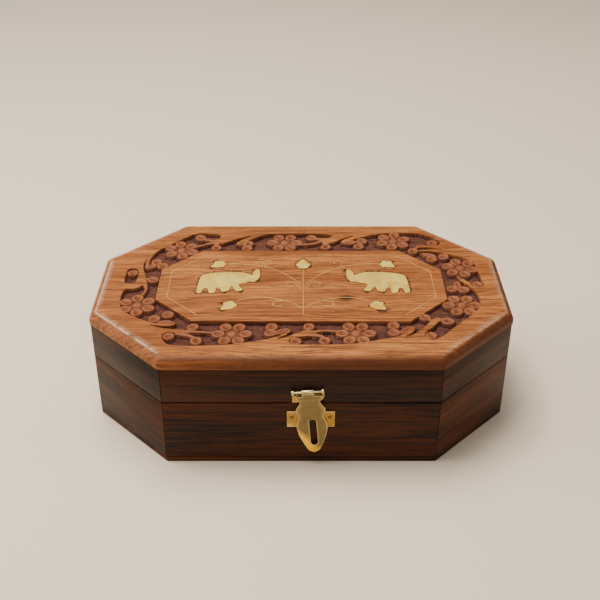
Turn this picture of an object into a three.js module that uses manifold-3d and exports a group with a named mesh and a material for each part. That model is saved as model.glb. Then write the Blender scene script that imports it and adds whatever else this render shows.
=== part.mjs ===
// An eight-sided wooden trinket box with a carved lid, brass inlay and a brass hasp.
// Millimetres, +X to the right, +Y to the back, +Z up. The origin is the centre of the underside.
import * as THREE from "three";
import { mergeVertices } from "three/addons/utils/BufferGeometryUtils.js";
import Module from "manifold-3d";

const wasm = await Module();
wasm.setup();

// The box as a whole
const boxLength = 203;
const boxWidth = 129;
const boxHeight = 59.8;
const cornerCut = 37.4;

// The boards it is glued up from
const wallThickness = 8;
const floorThickness = 3;
const lidBoardThickness = 6;
const boardOverhang = 0.5;
const seamHeight = 35.1;
const seamGap = 0.3;
const glueLine = 0.05;
const mitreGap = 0.12;

// The rounded edge of the lid board
const nosingRun = 3.5;
const nosingDrop = 4;
const nosingStart = 0.5;
const nosingSteps = 3;

// The carved border: a sunk band between the plain frame and the centre panel
const frameWidth = 8;
const carvingDepth = 2;
const rootDepth = 0.3;
const panelLength = 142;
const panelWidth = 67;
const panelCut = 19.3;

// Flowers, half flowers, buds and stems of the border
const petalRadius = 3;
const petalReach = 6.3;
const petalCount = 6;
const petalSides = 7;
const hollowRadius = 1.9;
const hollowDepth = 0.9;
const hollowSides = 4;
const heartRadius = 4.1;
const ringOuterRadius = 2.7;
const ringInnerRadius = 1.9;
const ringDepth = 0.7;
const halfPetalSpread = 3.1;
const halfLeafReach = 7.5;
const halfLeafWidth = 4.4;
const budRadius = 2.9;
const stemRootWidth = 5.5;
const stemKnotWidth = 3.4;
const stemTipWidth = 1.5;
const twigWidth = 1.7;
const halfStemWidth = 1.9;
const stemSteps = 4;

// The brass let into the centre panel
const inlayThickness = 0.8;
const inlayProud = 0.08;
const pocketClearance = 0.08;
const wireWidth = 0.55;
const wireGap = 0.45;
const stemLineX = 1;
const elephantLength = 31;
const leafSize = 7.6;
const budLength = 9.6;
const budWidth = 7.9;
const curlRadius = 2.7;
const curlSteps = 7;
const branchSteps = 7;
const borderInset = 5;

// The hasp on the lid's front wall, hung a little askew
const haspX = 2.9;
const haspHeight = 42.4;
const haspLean = 4.5;
const plateThickness = 0.8;
const flapGap = 0.3;
const haspPinRadius = 0.6;
const haspPlateWidth = 14.8;
const haspPlateHeight = 3.7;
const haspPlateClip = 2.4;
const haspWindowDrop = 2.2;
const earWidth = 1;
const haspKnuckleWall = 0.6;
const haspKnuckleGap = 0.15;
const tongueWidth = 5.4;
const flapOffset = 0.55;
const slotWidth = 3.25;
const slotTop = 15.5;
const slotBottom = 30.8;
const slotOffset = 0.43;

// The staple plate on the base's front wall
const staplePlateX = 4.4;
const staplePlateWidth = 22;
const staplePlateHeight = 9.05;
const staplePlateBottom = 21.85;
const notchHeight = 5.8;
const stapleNailSpacing = 17.5;
const stapleNailRise = 5.5;

// Nails
const nailHeadRadius = 1;
const nailHeadHeight = 0.35;
const nailShankRadius = 0.5;
const nailLength = 4.5;
const nailClearance = 0.06;
const nailSides = 6;

// The two hinges on the back walls
const hingeFromCorner = 22;
const hingeWidth = 27;
const leafHeight = 8;
const leafGap = 0.2;
const hingePinRadius = 0.8;
const knuckleWall = 0.9;
const knuckleGap = 0.15;
const runningClearance = 0.1;
const pinSides = 8;
const hingeNailSpacing = 16;
const hingeNailDrop = 5.2;

const topWood = new THREE.MeshStandardMaterial({ color: 0xa8683a, roughness: 0.6, metalness: 0 });
const wallWood = new THREE.MeshStandardMaterial({ color: 0x4a2a1c, roughness: 0.5, metalness: 0 });
const inlayBrass = new THREE.MeshStandardMaterial({ color: 0xd9bd6a, roughness: 0.4, metalness: 1 });
const haspBrass = new THREE.MeshStandardMaterial({ color: 0xa8894e, roughness: 0.45, metalness: 1 });

const degrees = Math.PI / 180;

// How far one shape runs into another where they are joined, or a cutter runs past a face
const overlap = 0.5;
const box = new THREE.Group();

// Solids, and the pieces made from them

function solidOf(geometry) {
  const plain = geometry.clone();
  plain.deleteAttribute("normal");
  plain.deleteAttribute("uv");
  const merged = mergeVertices(plain, 1e-4);
  return new wasm.Manifold(
    new wasm.Mesh({
      numProp: 3,
      vertProperties: new Float32Array(merged.attributes.position.array),
      triVerts: new Uint32Array(merged.index.array),
    }),
  );
}

function geometryOf(solid) {
  const mesh = solid.getMesh();
  const geometry = new THREE.BufferGeometry();
  geometry.setAttribute("position", new THREE.BufferAttribute(mesh.vertProperties, 3));
  geometry.setIndex(new THREE.BufferAttribute(mesh.triVerts, 1));
  geometry.computeVertexNormals();
  return geometry;
}

function addPiece(group, name, solid, material) {
  const mesh = new THREE.Mesh(geometryOf(solid), material);
  mesh.name = name;
  group.add(mesh);
}

// A flat outline, given as [x, y] points, stood up between two heights
function prism(outline, low, high) {
  const shape = new THREE.Shape(outline.map(([x, y]) => new THREE.Vector2(x, y)));
  const geometry = new THREE.ExtrudeGeometry(shape, { depth: high - low, bevelEnabled: false });
  return solidOf(geometry.translate(0, 0, low));
}

// The same outline stood against a wall that faces -Y: x across, y up, thickness outwards
function plate(outline, near, far) {
  const shape = new THREE.Shape(outline.map(([x, y]) => new THREE.Vector2(x, y)));
  const geometry = new THREE.ExtrudeGeometry(shape, { depth: far - near, bevelEnabled: false });
  return solidOf(geometry.translate(0, 0, near).rotateX(90 * degrees));
}

function block(xs, ys, zs) {
  const geometry = new THREE.BoxGeometry(xs[1] - xs[0], ys[1] - ys[0], zs[1] - zs[0]);
  geometry.translate((xs[0] + xs[1]) / 2, (ys[0] + ys[1]) / 2, (zs[0] + zs[1]) / 2);
  return solidOf(geometry);
}

// A round bar along X
function bar(radius, from, to, y) {
  const geometry = new THREE.CylinderGeometry(radius, radius, to - from, pinSides);
  geometry.rotateZ(90 * degrees).translate((from + to) / 2, y, 0);
  return solidOf(geometry);
}

function circle(x, y, radius, sides) {
  const points = [];
  for (let i = 0; i < sides; i++) {
    const angle = (i * 2 * Math.PI) / sides;
    points.push([x + radius * Math.cos(angle), y + radius * Math.sin(angle)]);
  }
  return points;
}

// An eight-sided outline, anticlockwise from the right end of its front side
function octagon({ halfLength, halfWidth, cut }) {
  return [
    [halfLength - cut, -halfWidth],
    [halfLength, -halfWidth + cut],
    [halfLength, halfWidth - cut],
    [halfLength - cut, halfWidth],
    [-halfLength + cut, halfWidth],
    [-halfLength, halfWidth - cut],
    [-halfLength, -halfWidth + cut],
    [-halfLength + cut, -halfWidth],
  ];
}

// The octagon whose sides all lie one distance inside another's
function insetBy(outer, distance) {
  return {
    halfLength: outer.halfLength - distance,
    halfWidth: outer.halfWidth - distance,
    cut: outer.cut - distance * (2 - Math.SQRT2),
  };
}

// An outline moved outwards by one distance, with square corners
function grow(outline, distance) {
  const count = outline.length;
  const area = outline.reduce((sum, [x, y], i) => {
    const [nextX, nextY] = outline[(i + 1) % count];
    return sum + x * nextY - nextX * y;
  }, 0);
  const side = Math.sign(area) * distance;
  return outline.map(([x, y], i) => {
    const before = outline[(i + count - 1) % count];
    const after = outline[(i + 1) % count];
    const arriving = new THREE.Vector2(x - before[0], y - before[1]).normalize();
    const leaving = new THREE.Vector2(after[0] - x, after[1] - y).normalize();
    const mitre = new THREE.Vector2(arriving.y + leaving.y, -arriving.x - leaving.x).normalize();
    const stretch = Math.min(1 / Math.max(mitre.dot(new THREE.Vector2(arriving.y, -arriving.x)), 0.1), 2.5);
    return [x + mitre.x * side * stretch, y + mitre.y * side * stretch];
  });
}

// A strip along a smooth line through points, whose width runs evenly through the widths
function ribbon(points, widths, steps) {
  const line = new THREE.SplineCurve(points.map(([x, y]) => new THREE.Vector2(x, y)));
  const left = [];
  const right = [];
  for (let i = 0; i <= steps; i++) {
    const share = i / steps;
    const at = line.getPoint(share);
    const along = line.getTangent(share);
    const place = share * (widths.length - 1);
    const low = Math.min(Math.floor(place), widths.length - 2);
    const half = THREE.MathUtils.lerp(widths[low], widths[low + 1], place - low) / 2;
    left.push([at.x - along.y * half, at.y + along.x * half]);
    right.push([at.x + along.y * half, at.y - along.x * half]);
  }
  return right.concat(left.reverse());
}

// Outlines of the box, from the lid board inwards

const board = { halfLength: boxLength / 2, halfWidth: boxWidth / 2, cut: cornerCut };
const wallsOutside = insetBy(board, boardOverhang);
const wallsInside = insetBy(wallsOutside, wallThickness);
const bandOutside = insetBy(board, nosingRun + frameWidth);
const panel = { halfLength: panelLength / 2, halfWidth: panelWidth / 2, cut: panelCut };
const lidUnderside = boxHeight - lidBoardThickness;
const carvedGround = boxHeight - carvingDepth;
const frontFace = -wallsOutside.halfWidth;

// Nails, driven square into a wall, and the holes that they leave

function nail(x, z, face, outward) {
  const profile = [
    [0, -nailLength],
    [nailShankRadius, -nailLength],
    [nailShankRadius, 0],
    [nailHeadRadius, 0],
    [nailHeadRadius * 0.75, nailHeadHeight],
    [0, nailHeadHeight],
  ].map(([radius, height]) => new THREE.Vector2(radius, height));
  const geometry = new THREE.LatheGeometry(profile, nailSides);
  geometry.rotateX(outward < 0 ? Math.PI : 0).translate(x, face, z);
  return solidOf(geometry);
}

function nailHole(x, z, face) {
  const depth = nailLength + 2 * nailClearance;
  const radius = nailShankRadius + nailClearance;
  const geometry = new THREE.CylinderGeometry(radius, radius, 2 * depth, nailSides);
  geometry.translate(x, face, z);
  return solidOf(geometry);
}

// Where a nail head sits, out from a wall face: on the plate that it holds
const nailSeat = 2 * glueLine + plateThickness;

// Brass that the walls carry: nails of the staple plate and of the hinge leaves

const staplePlateTop = staplePlateBottom + staplePlateHeight;
const stapleNails = [-1, 1].map((side) => ({
  name: side < 0 ? "staple_nail_left" : "staple_nail_right",
  x: staplePlateX + (side * stapleNailSpacing) / 2,
  z: staplePlateBottom + stapleNailRise,
}));

const backFace = wallsOutside.halfWidth;
const hingeHeight = seamHeight + seamGap / 2;
const knuckleRadius = hingePinRadius + runningClearance + knuckleWall;
const hingeX = wallsOutside.halfLength - wallsOutside.cut - hingeFromCorner;
const hingeSides = [
  { name: "hinge_left", x: -hingeX },
  { name: "hinge_right", x: hingeX },
];

function hingeNails(hinge, half) {
  const rise = half === "lid" ? hingeNailDrop : -hingeNailDrop;
  return [-1, 1].map((side) => ({
    name: hinge.name + "_" + half + "_nail_" + (side < 0 ? "left" : "right"),
    x: hinge.x + (side * hingeNailSpacing) / 2,
    z: hingeHeight + rise,
  }));
}

// Walls: eight mitred boards round the base, and eight round the lid

const sideNames = ["front", "front_right", "right", "back_right", "back", "back_left", "left", "front_left"];

function wallOutline(side) {
  const outer = octagon(wallsOutside);
  const inner = octagon(wallsInside);
  const start = (side + 7) % 8;
  const shift = mitreGap / 2 / Math.cos(Math.PI / 8);
  const from = new THREE.Vector2(...outer[start]);
  const along = new THREE.Vector2(...outer[side]).sub(from).normalize();
  const moved = ([x, y], sign) => [x + along.x * shift * sign, y + along.y * shift * sign];
  return [moved(outer[start], 1), moved(outer[side], -1), moved(inner[side], -1), moved(inner[start], 1)];
}

function addWalls(prefix, half, low, high) {
  sideNames.forEach((sideName, side) => {
    let wall = prism(wallOutline(side), low, high);
    if (sideName === "back") {
      for (const hinge of hingeSides) {
        for (const { x, z } of hingeNails(hinge, half)) {
          wall = wall.subtract(nailHole(x, z, backFace));
        }
      }
    }
    if (sideName === "front" && half === "base") {
      for (const { x, z } of stapleNails) {
        wall = wall.subtract(nailHole(x, z, frontFace));
      }
    }
    addPiece(box, prefix + sideName, wall, wallWood);
  });
}

addPiece(box, "base_floor", prism(octagon(wallsOutside), 0, floorThickness), wallWood);
addWalls("base_wall_", "base", floorThickness + glueLine, seamHeight);
addWalls("lid_wall_", "lid", seamHeight + seamGap, lidUnderside - glueLine);

// The lid board, with a worn arris above a rounded nosing

function nosedBoard() {
  const levels = [{ inset: 0, z: lidUnderside }];
  for (let i = nosingSteps; i >= 0; i--) {
    const angle = THREE.MathUtils.lerp(nosingStart, Math.PI / 2, i / nosingSteps);
    const run = (1 - Math.sin(angle)) / (1 - Math.sin(nosingStart));
    const drop = (Math.cos(nosingStart) - Math.cos(angle)) / Math.cos(nosingStart);
    levels.push({ inset: nosingRun * run, z: boxHeight - nosingDrop * drop });
  }
  const positions = [];
  const index = [];
  levels.forEach(({ inset, z }) => {
    octagon(insetBy(board, inset)).forEach(([x, y]) => positions.push(x, y, z));
  });
  const last = (levels.length - 1) * 8;
  for (let level = 0; level < levels.length - 1; level++) {
    for (let i = 0; i < 8; i++) {
      const a = level * 8 + i;
      const b = level * 8 + ((i + 1) % 8);
      index.push(a, b, b + 8, a, b + 8, a + 8);
    }
  }
  for (let i = 1; i < 7; i++) {
    index.push(0, i + 1, i);
    index.push(last, last + i, last + i + 1);
  }
  const geometry = new THREE.BufferGeometry();
  geometry.setAttribute("position", new THREE.Float32BufferAttribute(positions, 3));
  geometry.setIndex(index);
  return solidOf(geometry);
}

// Places in the carved border: a share of the way round the middle of the band, from the left
// end of its front side, and a distance inwards from there

const bandMiddle = octagon({
  halfLength: (bandOutside.halfLength + panel.halfLength) / 2,
  halfWidth: (bandOutside.halfWidth + panel.halfWidth) / 2,
  cut: (bandOutside.cut + panel.cut) / 2,
});
const bandCorners = [bandMiddle.at(-1), ...bandMiddle.slice(0, -1)].map(([x, y]) => new THREE.Vector2(x, y));
const bandLengths = bandCorners.map((corner, i) => corner.distanceTo(bandCorners[(i + 1) % 8]));
const bandRound = bandLengths.reduce((sum, length) => sum + length, 0);
const bandHalf = (bandOutside.halfWidth - panel.halfWidth) / 2;

function onBandMiddle(share) {
  let left = (share - Math.floor(share)) * bandRound;
  let side = 0;
  while (left > bandLengths[side] && side < 7) {
    left -= bandLengths[side];
    side += 1;
  }
  const end = bandCorners[(side + 1) % 8];
  return bandCorners[side].clone().lerp(end, left / bandLengths[side]);
}

const headingReach = 0.012;

function bandPlace(share, inward) {
  const along = onBandMiddle(share + headingReach).sub(onBandMiddle(share - headingReach)).normalize();
  const at = onBandMiddle(share);
  return {
    x: at.x - along.y * inward,
    y: at.y + along.x * inward,
    along,
    heading: Math.atan2(along.y, along.x),
  };
}

// A point near a place: so far along the band and so far inwards
function near(place, ahead, inward) {
  return [
    place.x + place.along.x * ahead - place.along.y * inward,
    place.y + place.along.y * ahead + place.along.x * inward,
  ];
}

// Eight growths follow each other anticlockwise: a flower, a half flower and a forked stem.
// Each is [share of the way round, distance inwards]; the buds are [ahead, inwards] of the fork.
const growths = [
  {
    flower: [0.054, -0.25],
    turn: 0,
    half: [0.095, 3.05],
    halfTurn: 6,
    fork: [0.132, 0.2],
    buds: [[1.5, 5.4], [-4.6, -6.5], [8.6, -6.1]],
  },
  {
    flower: [0.185, 0.15],
    turn: 0,
    half: [0.226, 3.8],
    halfTurn: 14,
    fork: [0.27, 0.7],
    buds: [[4.9, 6.6], [10, -3], [-4.9, -4.9]],
  },
  {
    flower: [0.3295, 1.5],
    turn: 4,
    half: [0.3675, 2.85],
    halfTurn: 0,
    fork: [0.377, -2.5],
    buds: [[0.1, -5]],
  },
  {
    flower: [0.415, -1.1],
    turn: 0,
    half: [0.448, 0.6],
    halfTurn: 15,
    fork: [0.471, -3.2],
    buds: [[3.7, 7.2], [2, -6.7]],
  },
  {
    flower: [0.514, -1.55],
    turn: 20,
    half: [0.555, 1.35],
    halfTurn: -3,
    fork: [0.593, 1.2],
    buds: [[1.8, 3.5], [9.3, -6.4], [-4.2, -7.4]],
  },
  {
    flower: [0.6475, 0.25],
    turn: 0,
    half: [0.6925, 3.75],
    halfTurn: -7,
    fork: [0.726, 0.2],
    buds: [[1.8, 5.8], [11, -5.4], [-2.6, -5.4]],
  },
  {
    flower: [0.781, 0],
    turn: -5,
    half: [0.819, 3.2],
    halfTurn: 0,
    fork: [0.864, -1.5],
    buds: [[1.2, 7.4], [-5.5, -3.7]],
  },
  {
    flower: [0.9225, 0.35],
    turn: 35,
    half: [0.9595, 2.35],
    halfTurn: 12,
    fork: [0.993, 0],
    buds: [[3.9, 6.8], [12.5, -0.8], [-0.1, -5.7]],
  },
];

// Where the frame's wood runs on into the band: [share, reach inwards from the band's edge]
const frameReaches = [
  [
    [0.288, 0.4],
    [0.29, 2.6],
    [0.325, 2.6],
    [0.341, 3.2],
    [0.367, 5.5],
  ],
  [
    [0.755, 2.4],
    [0.775, 1.8],
    [0.79, 2.4],
    [0.802, 3.3],
    [0.815, 5.6],
    [0.821, 4.1],
    [0.83, 6],
    [0.842, 9.7],
    [0.844, 1.8],
    [0.908, 1.8],
    [0.924, 1.4],
    [0.942, 3.4],
    [0.959, 3.2],
    [0.978, 6.2],
    [0.984, 1],
  ],
];

// Low blocks left beside the pockets of the left side: [share, distance inwards]
const leftBlocks = [
  [
    [0.843, -1.6],
    [0.857, -2.2],
    [0.876, -2.3],
    [0.876, 3.1],
    [0.864, 1.8],
    [0.854, 0.3],
    [0.843, 0.2],
  ],
  [
    [0.8745, -8.4],
    [0.8745, 2.2],
    [0.878, 3],
    [0.8795, 0],
    [0.8855, -2.5],
    [0.8855, -8.4],
  ],
];

// What is left standing when the ground is cut away, and what is then gouged out of it
const raised = [];
const gouged = [];

function standUp(outline) {
  raised.push(prism(outline, carvedGround - rootDepth, boxHeight));
}

function gougeHollow([x, y]) {
  const above = hollowDepth * 0.25;
  const mouth = hollowRadius * (1 + above / hollowDepth);
  const geometry = new THREE.ConeGeometry(mouth, hollowDepth + above, hollowSides);
  geometry.rotateX(-90 * degrees).translate(x, y, boxHeight + above / 2 - hollowDepth / 2);
  gouged.push(solidOf(geometry));
}

function carveDish(at, radius) {
  standUp(circle(...at, radius, petalSides));
  gougeHollow(at);
}

function carveFlower(place, turn) {
  for (let i = 0; i < petalCount; i++) {
    const angle = place.heading + turn * degrees + (i * 2 * Math.PI) / petalCount;
    const across = petalReach * Math.cos(angle);
    const up = petalReach * Math.sin(angle);
    carveDish([place.x + across, place.y + up], petalRadius);
  }
  standUp(circle(place.x, place.y, heartRadius, petalSides));
  const rim = circle(place.x, place.y, ringOuterRadius, petalSides);
  const ring = prism(rim, boxHeight - ringDepth, boxHeight + overlap);
  const boss = prism(circle(place.x, place.y, ringInnerRadius, petalSides), 0, boxHeight + 2 * overlap);
  gouged.push(ring.subtract(boss));
}

function carveHalfFlower(place, turn, rootShare) {
  const heading = place.heading + turn * degrees;
  const turned = { ...place, along: new THREE.Vector2(Math.cos(heading), Math.sin(heading)) };
  carveDish(near(turned, 0, halfPetalSpread), petalRadius);
  carveDish(near(turned, 0, -halfPetalSpread), petalRadius);
  const leafTip = near(turned, halfLeafReach, 0);
  const half = halfLeafWidth / 2;
  const waist = halfLeafReach / 2;
  standUp([leafTip, near(turned, waist, half), near(turned, -1, 0), near(turned, waist, -half)]);
  const root = bandPlace(rootShare, -bandHalf - 1);
  const bend = near(turned, 0.5, -2 * halfPetalSpread - 0.5);
  const widths = [halfStemWidth, halfStemWidth, halfStemWidth * 2];
  standUp(ribbon([leafTip, bend, [root.x, root.y]], widths, stemSteps));
}

function carveFork(place, rootShare, tipPlace, buds) {
  const root = bandPlace(rootShare, -bandHalf - 2);
  const knot = [place.x, place.y];
  const widths = [stemRootWidth, stemKnotWidth, stemTipWidth];
  standUp(ribbon([[root.x, root.y], knot, [tipPlace.x, tipPlace.y]], widths, stemSteps));
  for (const [ahead, inward] of buds) {
    const bud = near(place, ahead, inward);
    standUp(ribbon([knot, near(place, ahead * 0.7, inward * 0.35), bud], [twigWidth, twigWidth], 2));
    carveDish(bud, budRadius);
  }
}

// The shares of the way round by which stems leave the frame and stop at the next flower
const halfStemRun = 0.021;
const flowerReach = 0.016;

for (const block of leftBlocks) {
  standUp(block.map((at) => bandPlace(...at)).map(({ x, y }) => [x, y]));
}
for (const reaches of frameReaches) {
  const inner = reaches.map(([share, reach]) => bandPlace(share, reach - bandHalf));
  const outer = reaches.map(([share]) => bandPlace(share, -bandHalf - stemRootWidth));
  standUp([...inner, ...outer.reverse()].map(({ x, y }) => [x, y]));
}

growths.forEach(({ flower, turn, half, halfTurn, fork, buds }, i) => {
  const next = growths[(i + 1) % growths.length].flower;
  carveFlower(bandPlace(...flower), turn);
  carveHalfFlower(bandPlace(...half), halfTurn, half[0] - halfStemRun);
  carveFork(bandPlace(...fork), half[0], bandPlace(next[0] - flowerReach, next[1] + 1.5), buds);
});

function carvedBoard() {
  let solid = nosedBoard();
  const sunk = prism(octagon(bandOutside), carvedGround, boxHeight + overlap);
  solid = solid.subtract(sunk.subtract(prism(octagon(panel), 0, boxHeight + 2 * overlap)));
  let motifs = raised[0];
  for (const piece of raised.slice(1)) {
    motifs = motifs.add(piece);
  }
  for (const hollow of gouged) {
    motifs = motifs.subtract(hollow);
  }
  const inBand = prism(octagon(insetBy(bandOutside, -overlap)), 0, boxHeight + overlap);
  const outOfPanel = prism(octagon(panel), 0, boxHeight + 2 * overlap);
  return solid.add(motifs.intersect(inBand).subtract(outOfPanel));
}

// Brass inlay: each piece is a flat outline, or several that run into each other

const inlays = [];

// A point of the panel, as shares of its half length from the stem line and of its half width
function onPanel(across, up, sign = 1) {
  return [stemLineX + sign * across * panel.halfLength, up * panel.halfWidth];
}

function mirrored(outline, sign) {
  return sign > 0 ? outline : outline.map(([x, y]) => [-x, y]).reverse();
}

function movedTo(outline, [x, y]) {
  return outline.map(([px, py]) => [px + x, py + y]);
}

// An elephant that walks to the left with its trunk raised, as shares of its own length
const elephantShare = [
  [0.432, 0.558],
  [0.287, 0.616],
  [-0.013, 0.645],
  [-0.216, 0.629],
  [-0.316, 0.581],
  [-0.371, 0.532],
  [-0.377, 0.629],
  [-0.426, 0.729],
  [-0.487, 0.729],
  [-0.5, 0.581],
  [-0.484, 0.435],
  [-0.416, 0.339],
  [-0.339, 0.355],
  [-0.281, 0.316],
  [-0.194, 0.294],
  [-0.161, 0.245],
  [-0.203, 0.152],
  [-0.242, 0.081],
  [-0.135, 0.048],
  [-0.081, 0.139],
  [-0.052, 0.213],
  [-0.013, 0.058],
  [0.11, 0.035],
  [0.126, 0.129],
  [0.19, 0.174],
  [0.194, 0.058],
  [0.21, 0.003],
  [0.3, 0.003],
  [0.323, 0.129],
  [0.361, 0.152],
  [0.397, 0.129],
  [0.413, 0],
  [0.5, 0],
  [0.497, 0.174],
  [0.484, 0.365],
  [0.471, 0.484],
];

const elephantFeet = { across: 0.524, up: -0.248 };

function elephant(sign) {
  const outline = elephantShare.map(([x, y]) => [x * elephantLength, y * elephantLength]);
  return movedTo(mirrored(outline, sign), onPanel(elephantFeet.across, elephantFeet.up, sign));
}

// A squat leaf with a notched base, pointing to +X
const leafShare = [
  [0.5, 0.04],
  [0.28, 0.42],
  [-0.4, 0.46],
  [-0.5, 0.2],
  [-0.42, -0.05],
  [-0.5, -0.42],
  [0.24, -0.46],
];

function leaf(across, up, sign, turn) {
  const angle = turn * degrees;
  const outline = leafShare.map(([x, y]) => [
    leafSize * (x * Math.cos(angle) - y * Math.sin(angle)),
    leafSize * (x * Math.sin(angle) + y * Math.cos(angle)),
  ]);
  return movedTo(mirrored(outline, sign), onPanel(across, up, sign));
}

const budFoot = onPanel(0, 0.46);
const budOutline = movedTo(
  [
    [-0.24 * budWidth, 0],
    [0.24 * budWidth, 0],
    [0.5 * budWidth, 0.37 * budLength],
    [0, budLength],
    [-0.5 * budWidth, 0.37 * budLength],
  ],
  budFoot,
);

// A wire that winds from a joining point round a centre, closing in as it goes
function curl(join, centre, start, sweep, sign) {
  const points = [join];
  for (let i = 0; i <= curlSteps; i++) {
    const share = i / curlSteps;
    const angle = (start + sweep * share) * degrees;
    const radius = curlRadius * (1 - 0.3 * share);
    points.push([centre[0] + sign * radius * Math.cos(angle), centre[1] + radius * Math.sin(angle)]);
  }
  return ribbon(points, [wireWidth, wireWidth], curlSteps + 2);
}

function wire(points) {
  return ribbon(points, [wireWidth, wireWidth], points.length - 1);
}

// A straight-sided wire laid parallel to the panel's edge round one end of it
function borderWire(sign) {
  const outer = octagon(insetBy(panel, borderInset)).slice(0, 4);
  const inner = octagon(insetBy(panel, borderInset + wireWidth)).slice(0, 4);
  return mirrored(outer.concat(inner.reverse()), sign);
}

function upperBranch(sign) {
  const besideStem = wireWidth + wireGap;
  const start = onPanel(0, -0.02, sign);
  start[0] += sign * besideStem;
  const middle = [onPanel(0.09, 0.2, sign), onPanel(0.17, 0.37, sign), onPanel(0.26, 0.49, sign)];
  const outer = [onPanel(0.35, 0.556, sign), onPanel(0.44, 0.585, sign), onPanel(0.535, 0.6, sign)];
  const branch = ribbon([start, ...middle, ...outer], [wireWidth, wireWidth], branchSteps);
  const join = onPanel(0.272, 0.5, sign);
  return [branch, curl(join, onPanel(0.252, 0.63, sign), -50, 270, sign)];
}

function middleCurl(sign) {
  const start = onPanel(0, -0.13, sign);
  start[0] += sign * (wireWidth + wireGap);
  return [curl(start, onPanel(0.09, -0.012, sign), 150, -290, sign)];
}

function lowerBranch(sign) {
  const start = onPanel(0, -0.65, sign);
  start[0] += sign * (wireWidth + wireGap);
  const middle = [onPanel(0.08, -0.5, sign), onPanel(0.155, -0.44, sign), onPanel(0.23, -0.385, sign)];
  const outer = [onPanel(0.3, -0.372, sign), onPanel(0.38, -0.4, sign), onPanel(0.455, -0.46, sign)];
  const branch = ribbon([start, ...middle, ...outer], [wireWidth, wireWidth], branchSteps);
  const join = onPanel(0.13, -0.45, sign);
  return [branch, curl(join, onPanel(0.175, -0.56, sign), 100, -260, sign)];
}

inlays.push({ name: "bud", outlines: [budOutline] });
const stemTop = [stemLineX, budFoot[1] - wireGap];
const stemFoot = onPanel(0, -0.85);
inlays.push({ name: "stem_wire", outlines: [wire([stemFoot, stemTop])] });
for (const [side, sign] of [["left", -1], ["right", 1]]) {
  inlays.push({ name: "elephant_" + side, outlines: [elephant(sign)] });
  inlays.push({ name: "leaf_upper_" + side, outlines: [leaf(0.61, 0.585, sign, 180)] });
  inlays.push({ name: "leaf_lower_" + side, outlines: [leaf(0.508, -0.585, sign, 250)] });
  inlays.push({ name: "upper_branch_" + side, outlines: upperBranch(sign) });
  inlays.push({ name: "middle_curl_" + side, outlines: middleCurl(sign) });
  inlays.push({ name: "lower_branch_" + side, outlines: lowerBranch(sign) });
  inlays.push({ name: "border_wire_" + side, outlines: [borderWire(sign)] });
}

const inlayTop = boxHeight + inlayProud;
let lidTop = carvedBoard();
for (const { name, outlines } of inlays) {
  let piece = null;
  for (const outline of outlines) {
    const part = prism(outline, inlayTop - inlayThickness, inlayTop);
    piece = piece ? piece.add(part) : part;
    const pocket = grow(outline, pocketClearance);
    lidTop = lidTop.subtract(prism(pocket, inlayTop - inlayThickness - glueLine, boxHeight + overlap));
  }
  addPiece(box, name, piece, inlayBrass);
}
addPiece(box, "lid_top", lidTop, topWood);

// The staple plate, nailed level to the base's front wall, with a notch behind the flap's slot

const notchWidth = slotWidth + 1;
const notchX = haspX + flapOffset + slotOffset + (haspHeight - staplePlateBottom) * Math.tan(haspLean * degrees);
const plateOutline = [
  [staplePlateX - staplePlateWidth / 2, staplePlateTop],
  [staplePlateX - staplePlateWidth / 2, staplePlateBottom],
  [notchX - notchWidth / 2, staplePlateBottom],
  [notchX - notchWidth / 2, staplePlateBottom + notchHeight],
  [notchX + notchWidth / 2, staplePlateBottom + notchHeight],
  [notchX + notchWidth / 2, staplePlateBottom],
  [staplePlateX + staplePlateWidth / 2, staplePlateBottom],
  [staplePlateX + staplePlateWidth / 2, staplePlateTop],
];
const onFront = new THREE.Matrix4().makeTranslation(0, frontFace, 0);
let staplePlate = plate(plateOutline, glueLine, glueLine + plateThickness).transform(onFront.elements);
for (const { name, x, z } of stapleNails) {
  staplePlate = staplePlate.subtract(nailHole(x, z, frontFace));
  addPiece(box, name, nail(x, z, frontFace - nailSeat, -1), haspBrass);
}
addPiece(box, "staple_plate", staplePlate, haspBrass);

// The hasp: a plate whose ears hold a pin, and a shaped flap that hangs from the pin

const hasp = new THREE.Group();
hasp.position.set(haspX, frontFace, haspHeight);
hasp.rotation.y = -haspLean * degrees;
box.add(hasp);

const haspBore = haspPinRadius + runningClearance;
const plateOut = glueLine + plateThickness;
const flapNear = plateOut + flapGap;
const flapFar = flapNear + plateThickness;
const haspKnuckle = haspBore + haspKnuckleWall;
const pinOut = haspKnuckle + haspKnuckleGap;
const halfPlate = haspPlateWidth / 2;
const plateFoot = haspWindowDrop + haspPlateHeight;

function haspPlate() {
  const webOutline = [
    [-halfPlate, -haspWindowDrop],
    [-halfPlate, -plateFoot],
    [halfPlate - haspPlateClip, -plateFoot],
    [halfPlate, haspPlateClip - plateFoot],
    [halfPlate, -haspWindowDrop],
  ];
  let solid = plate(webOutline, glueLine, plateOut);
  for (const sign of [-1, 1]) {
    const ends = [sign * halfPlate, sign * (halfPlate - earWidth)].sort((a, b) => a - b);
    solid = solid.add(block(ends, [-plateOut, -glueLine], [-haspWindowDrop - overlap, 0]));
    solid = solid.add(bar(haspKnuckle, ...ends, -pinOut));
  }
  return solid.subtract(bar(haspBore, -halfPlate - overlap, halfPlate + overlap, -pinOut));
}

// Half widths of the flap at drops below the pin, from its shoulders to its rounded tip.
// The flap hangs a little to the right of the middle of its tongue.
const flapEdge = [
  [2.2, 5.9],
  [4, 6.1],
  [5.7, 4.65],
  [10, 6.8],
  [14.3, 5.75],
  [18.6, 7.14],
  [24, 6.5],
  [27.8, 5.26],
  [31.7, 3.65],
  [34, 2.4],
  [35.3, 0],
];
const flapSteps = 18;

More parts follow.
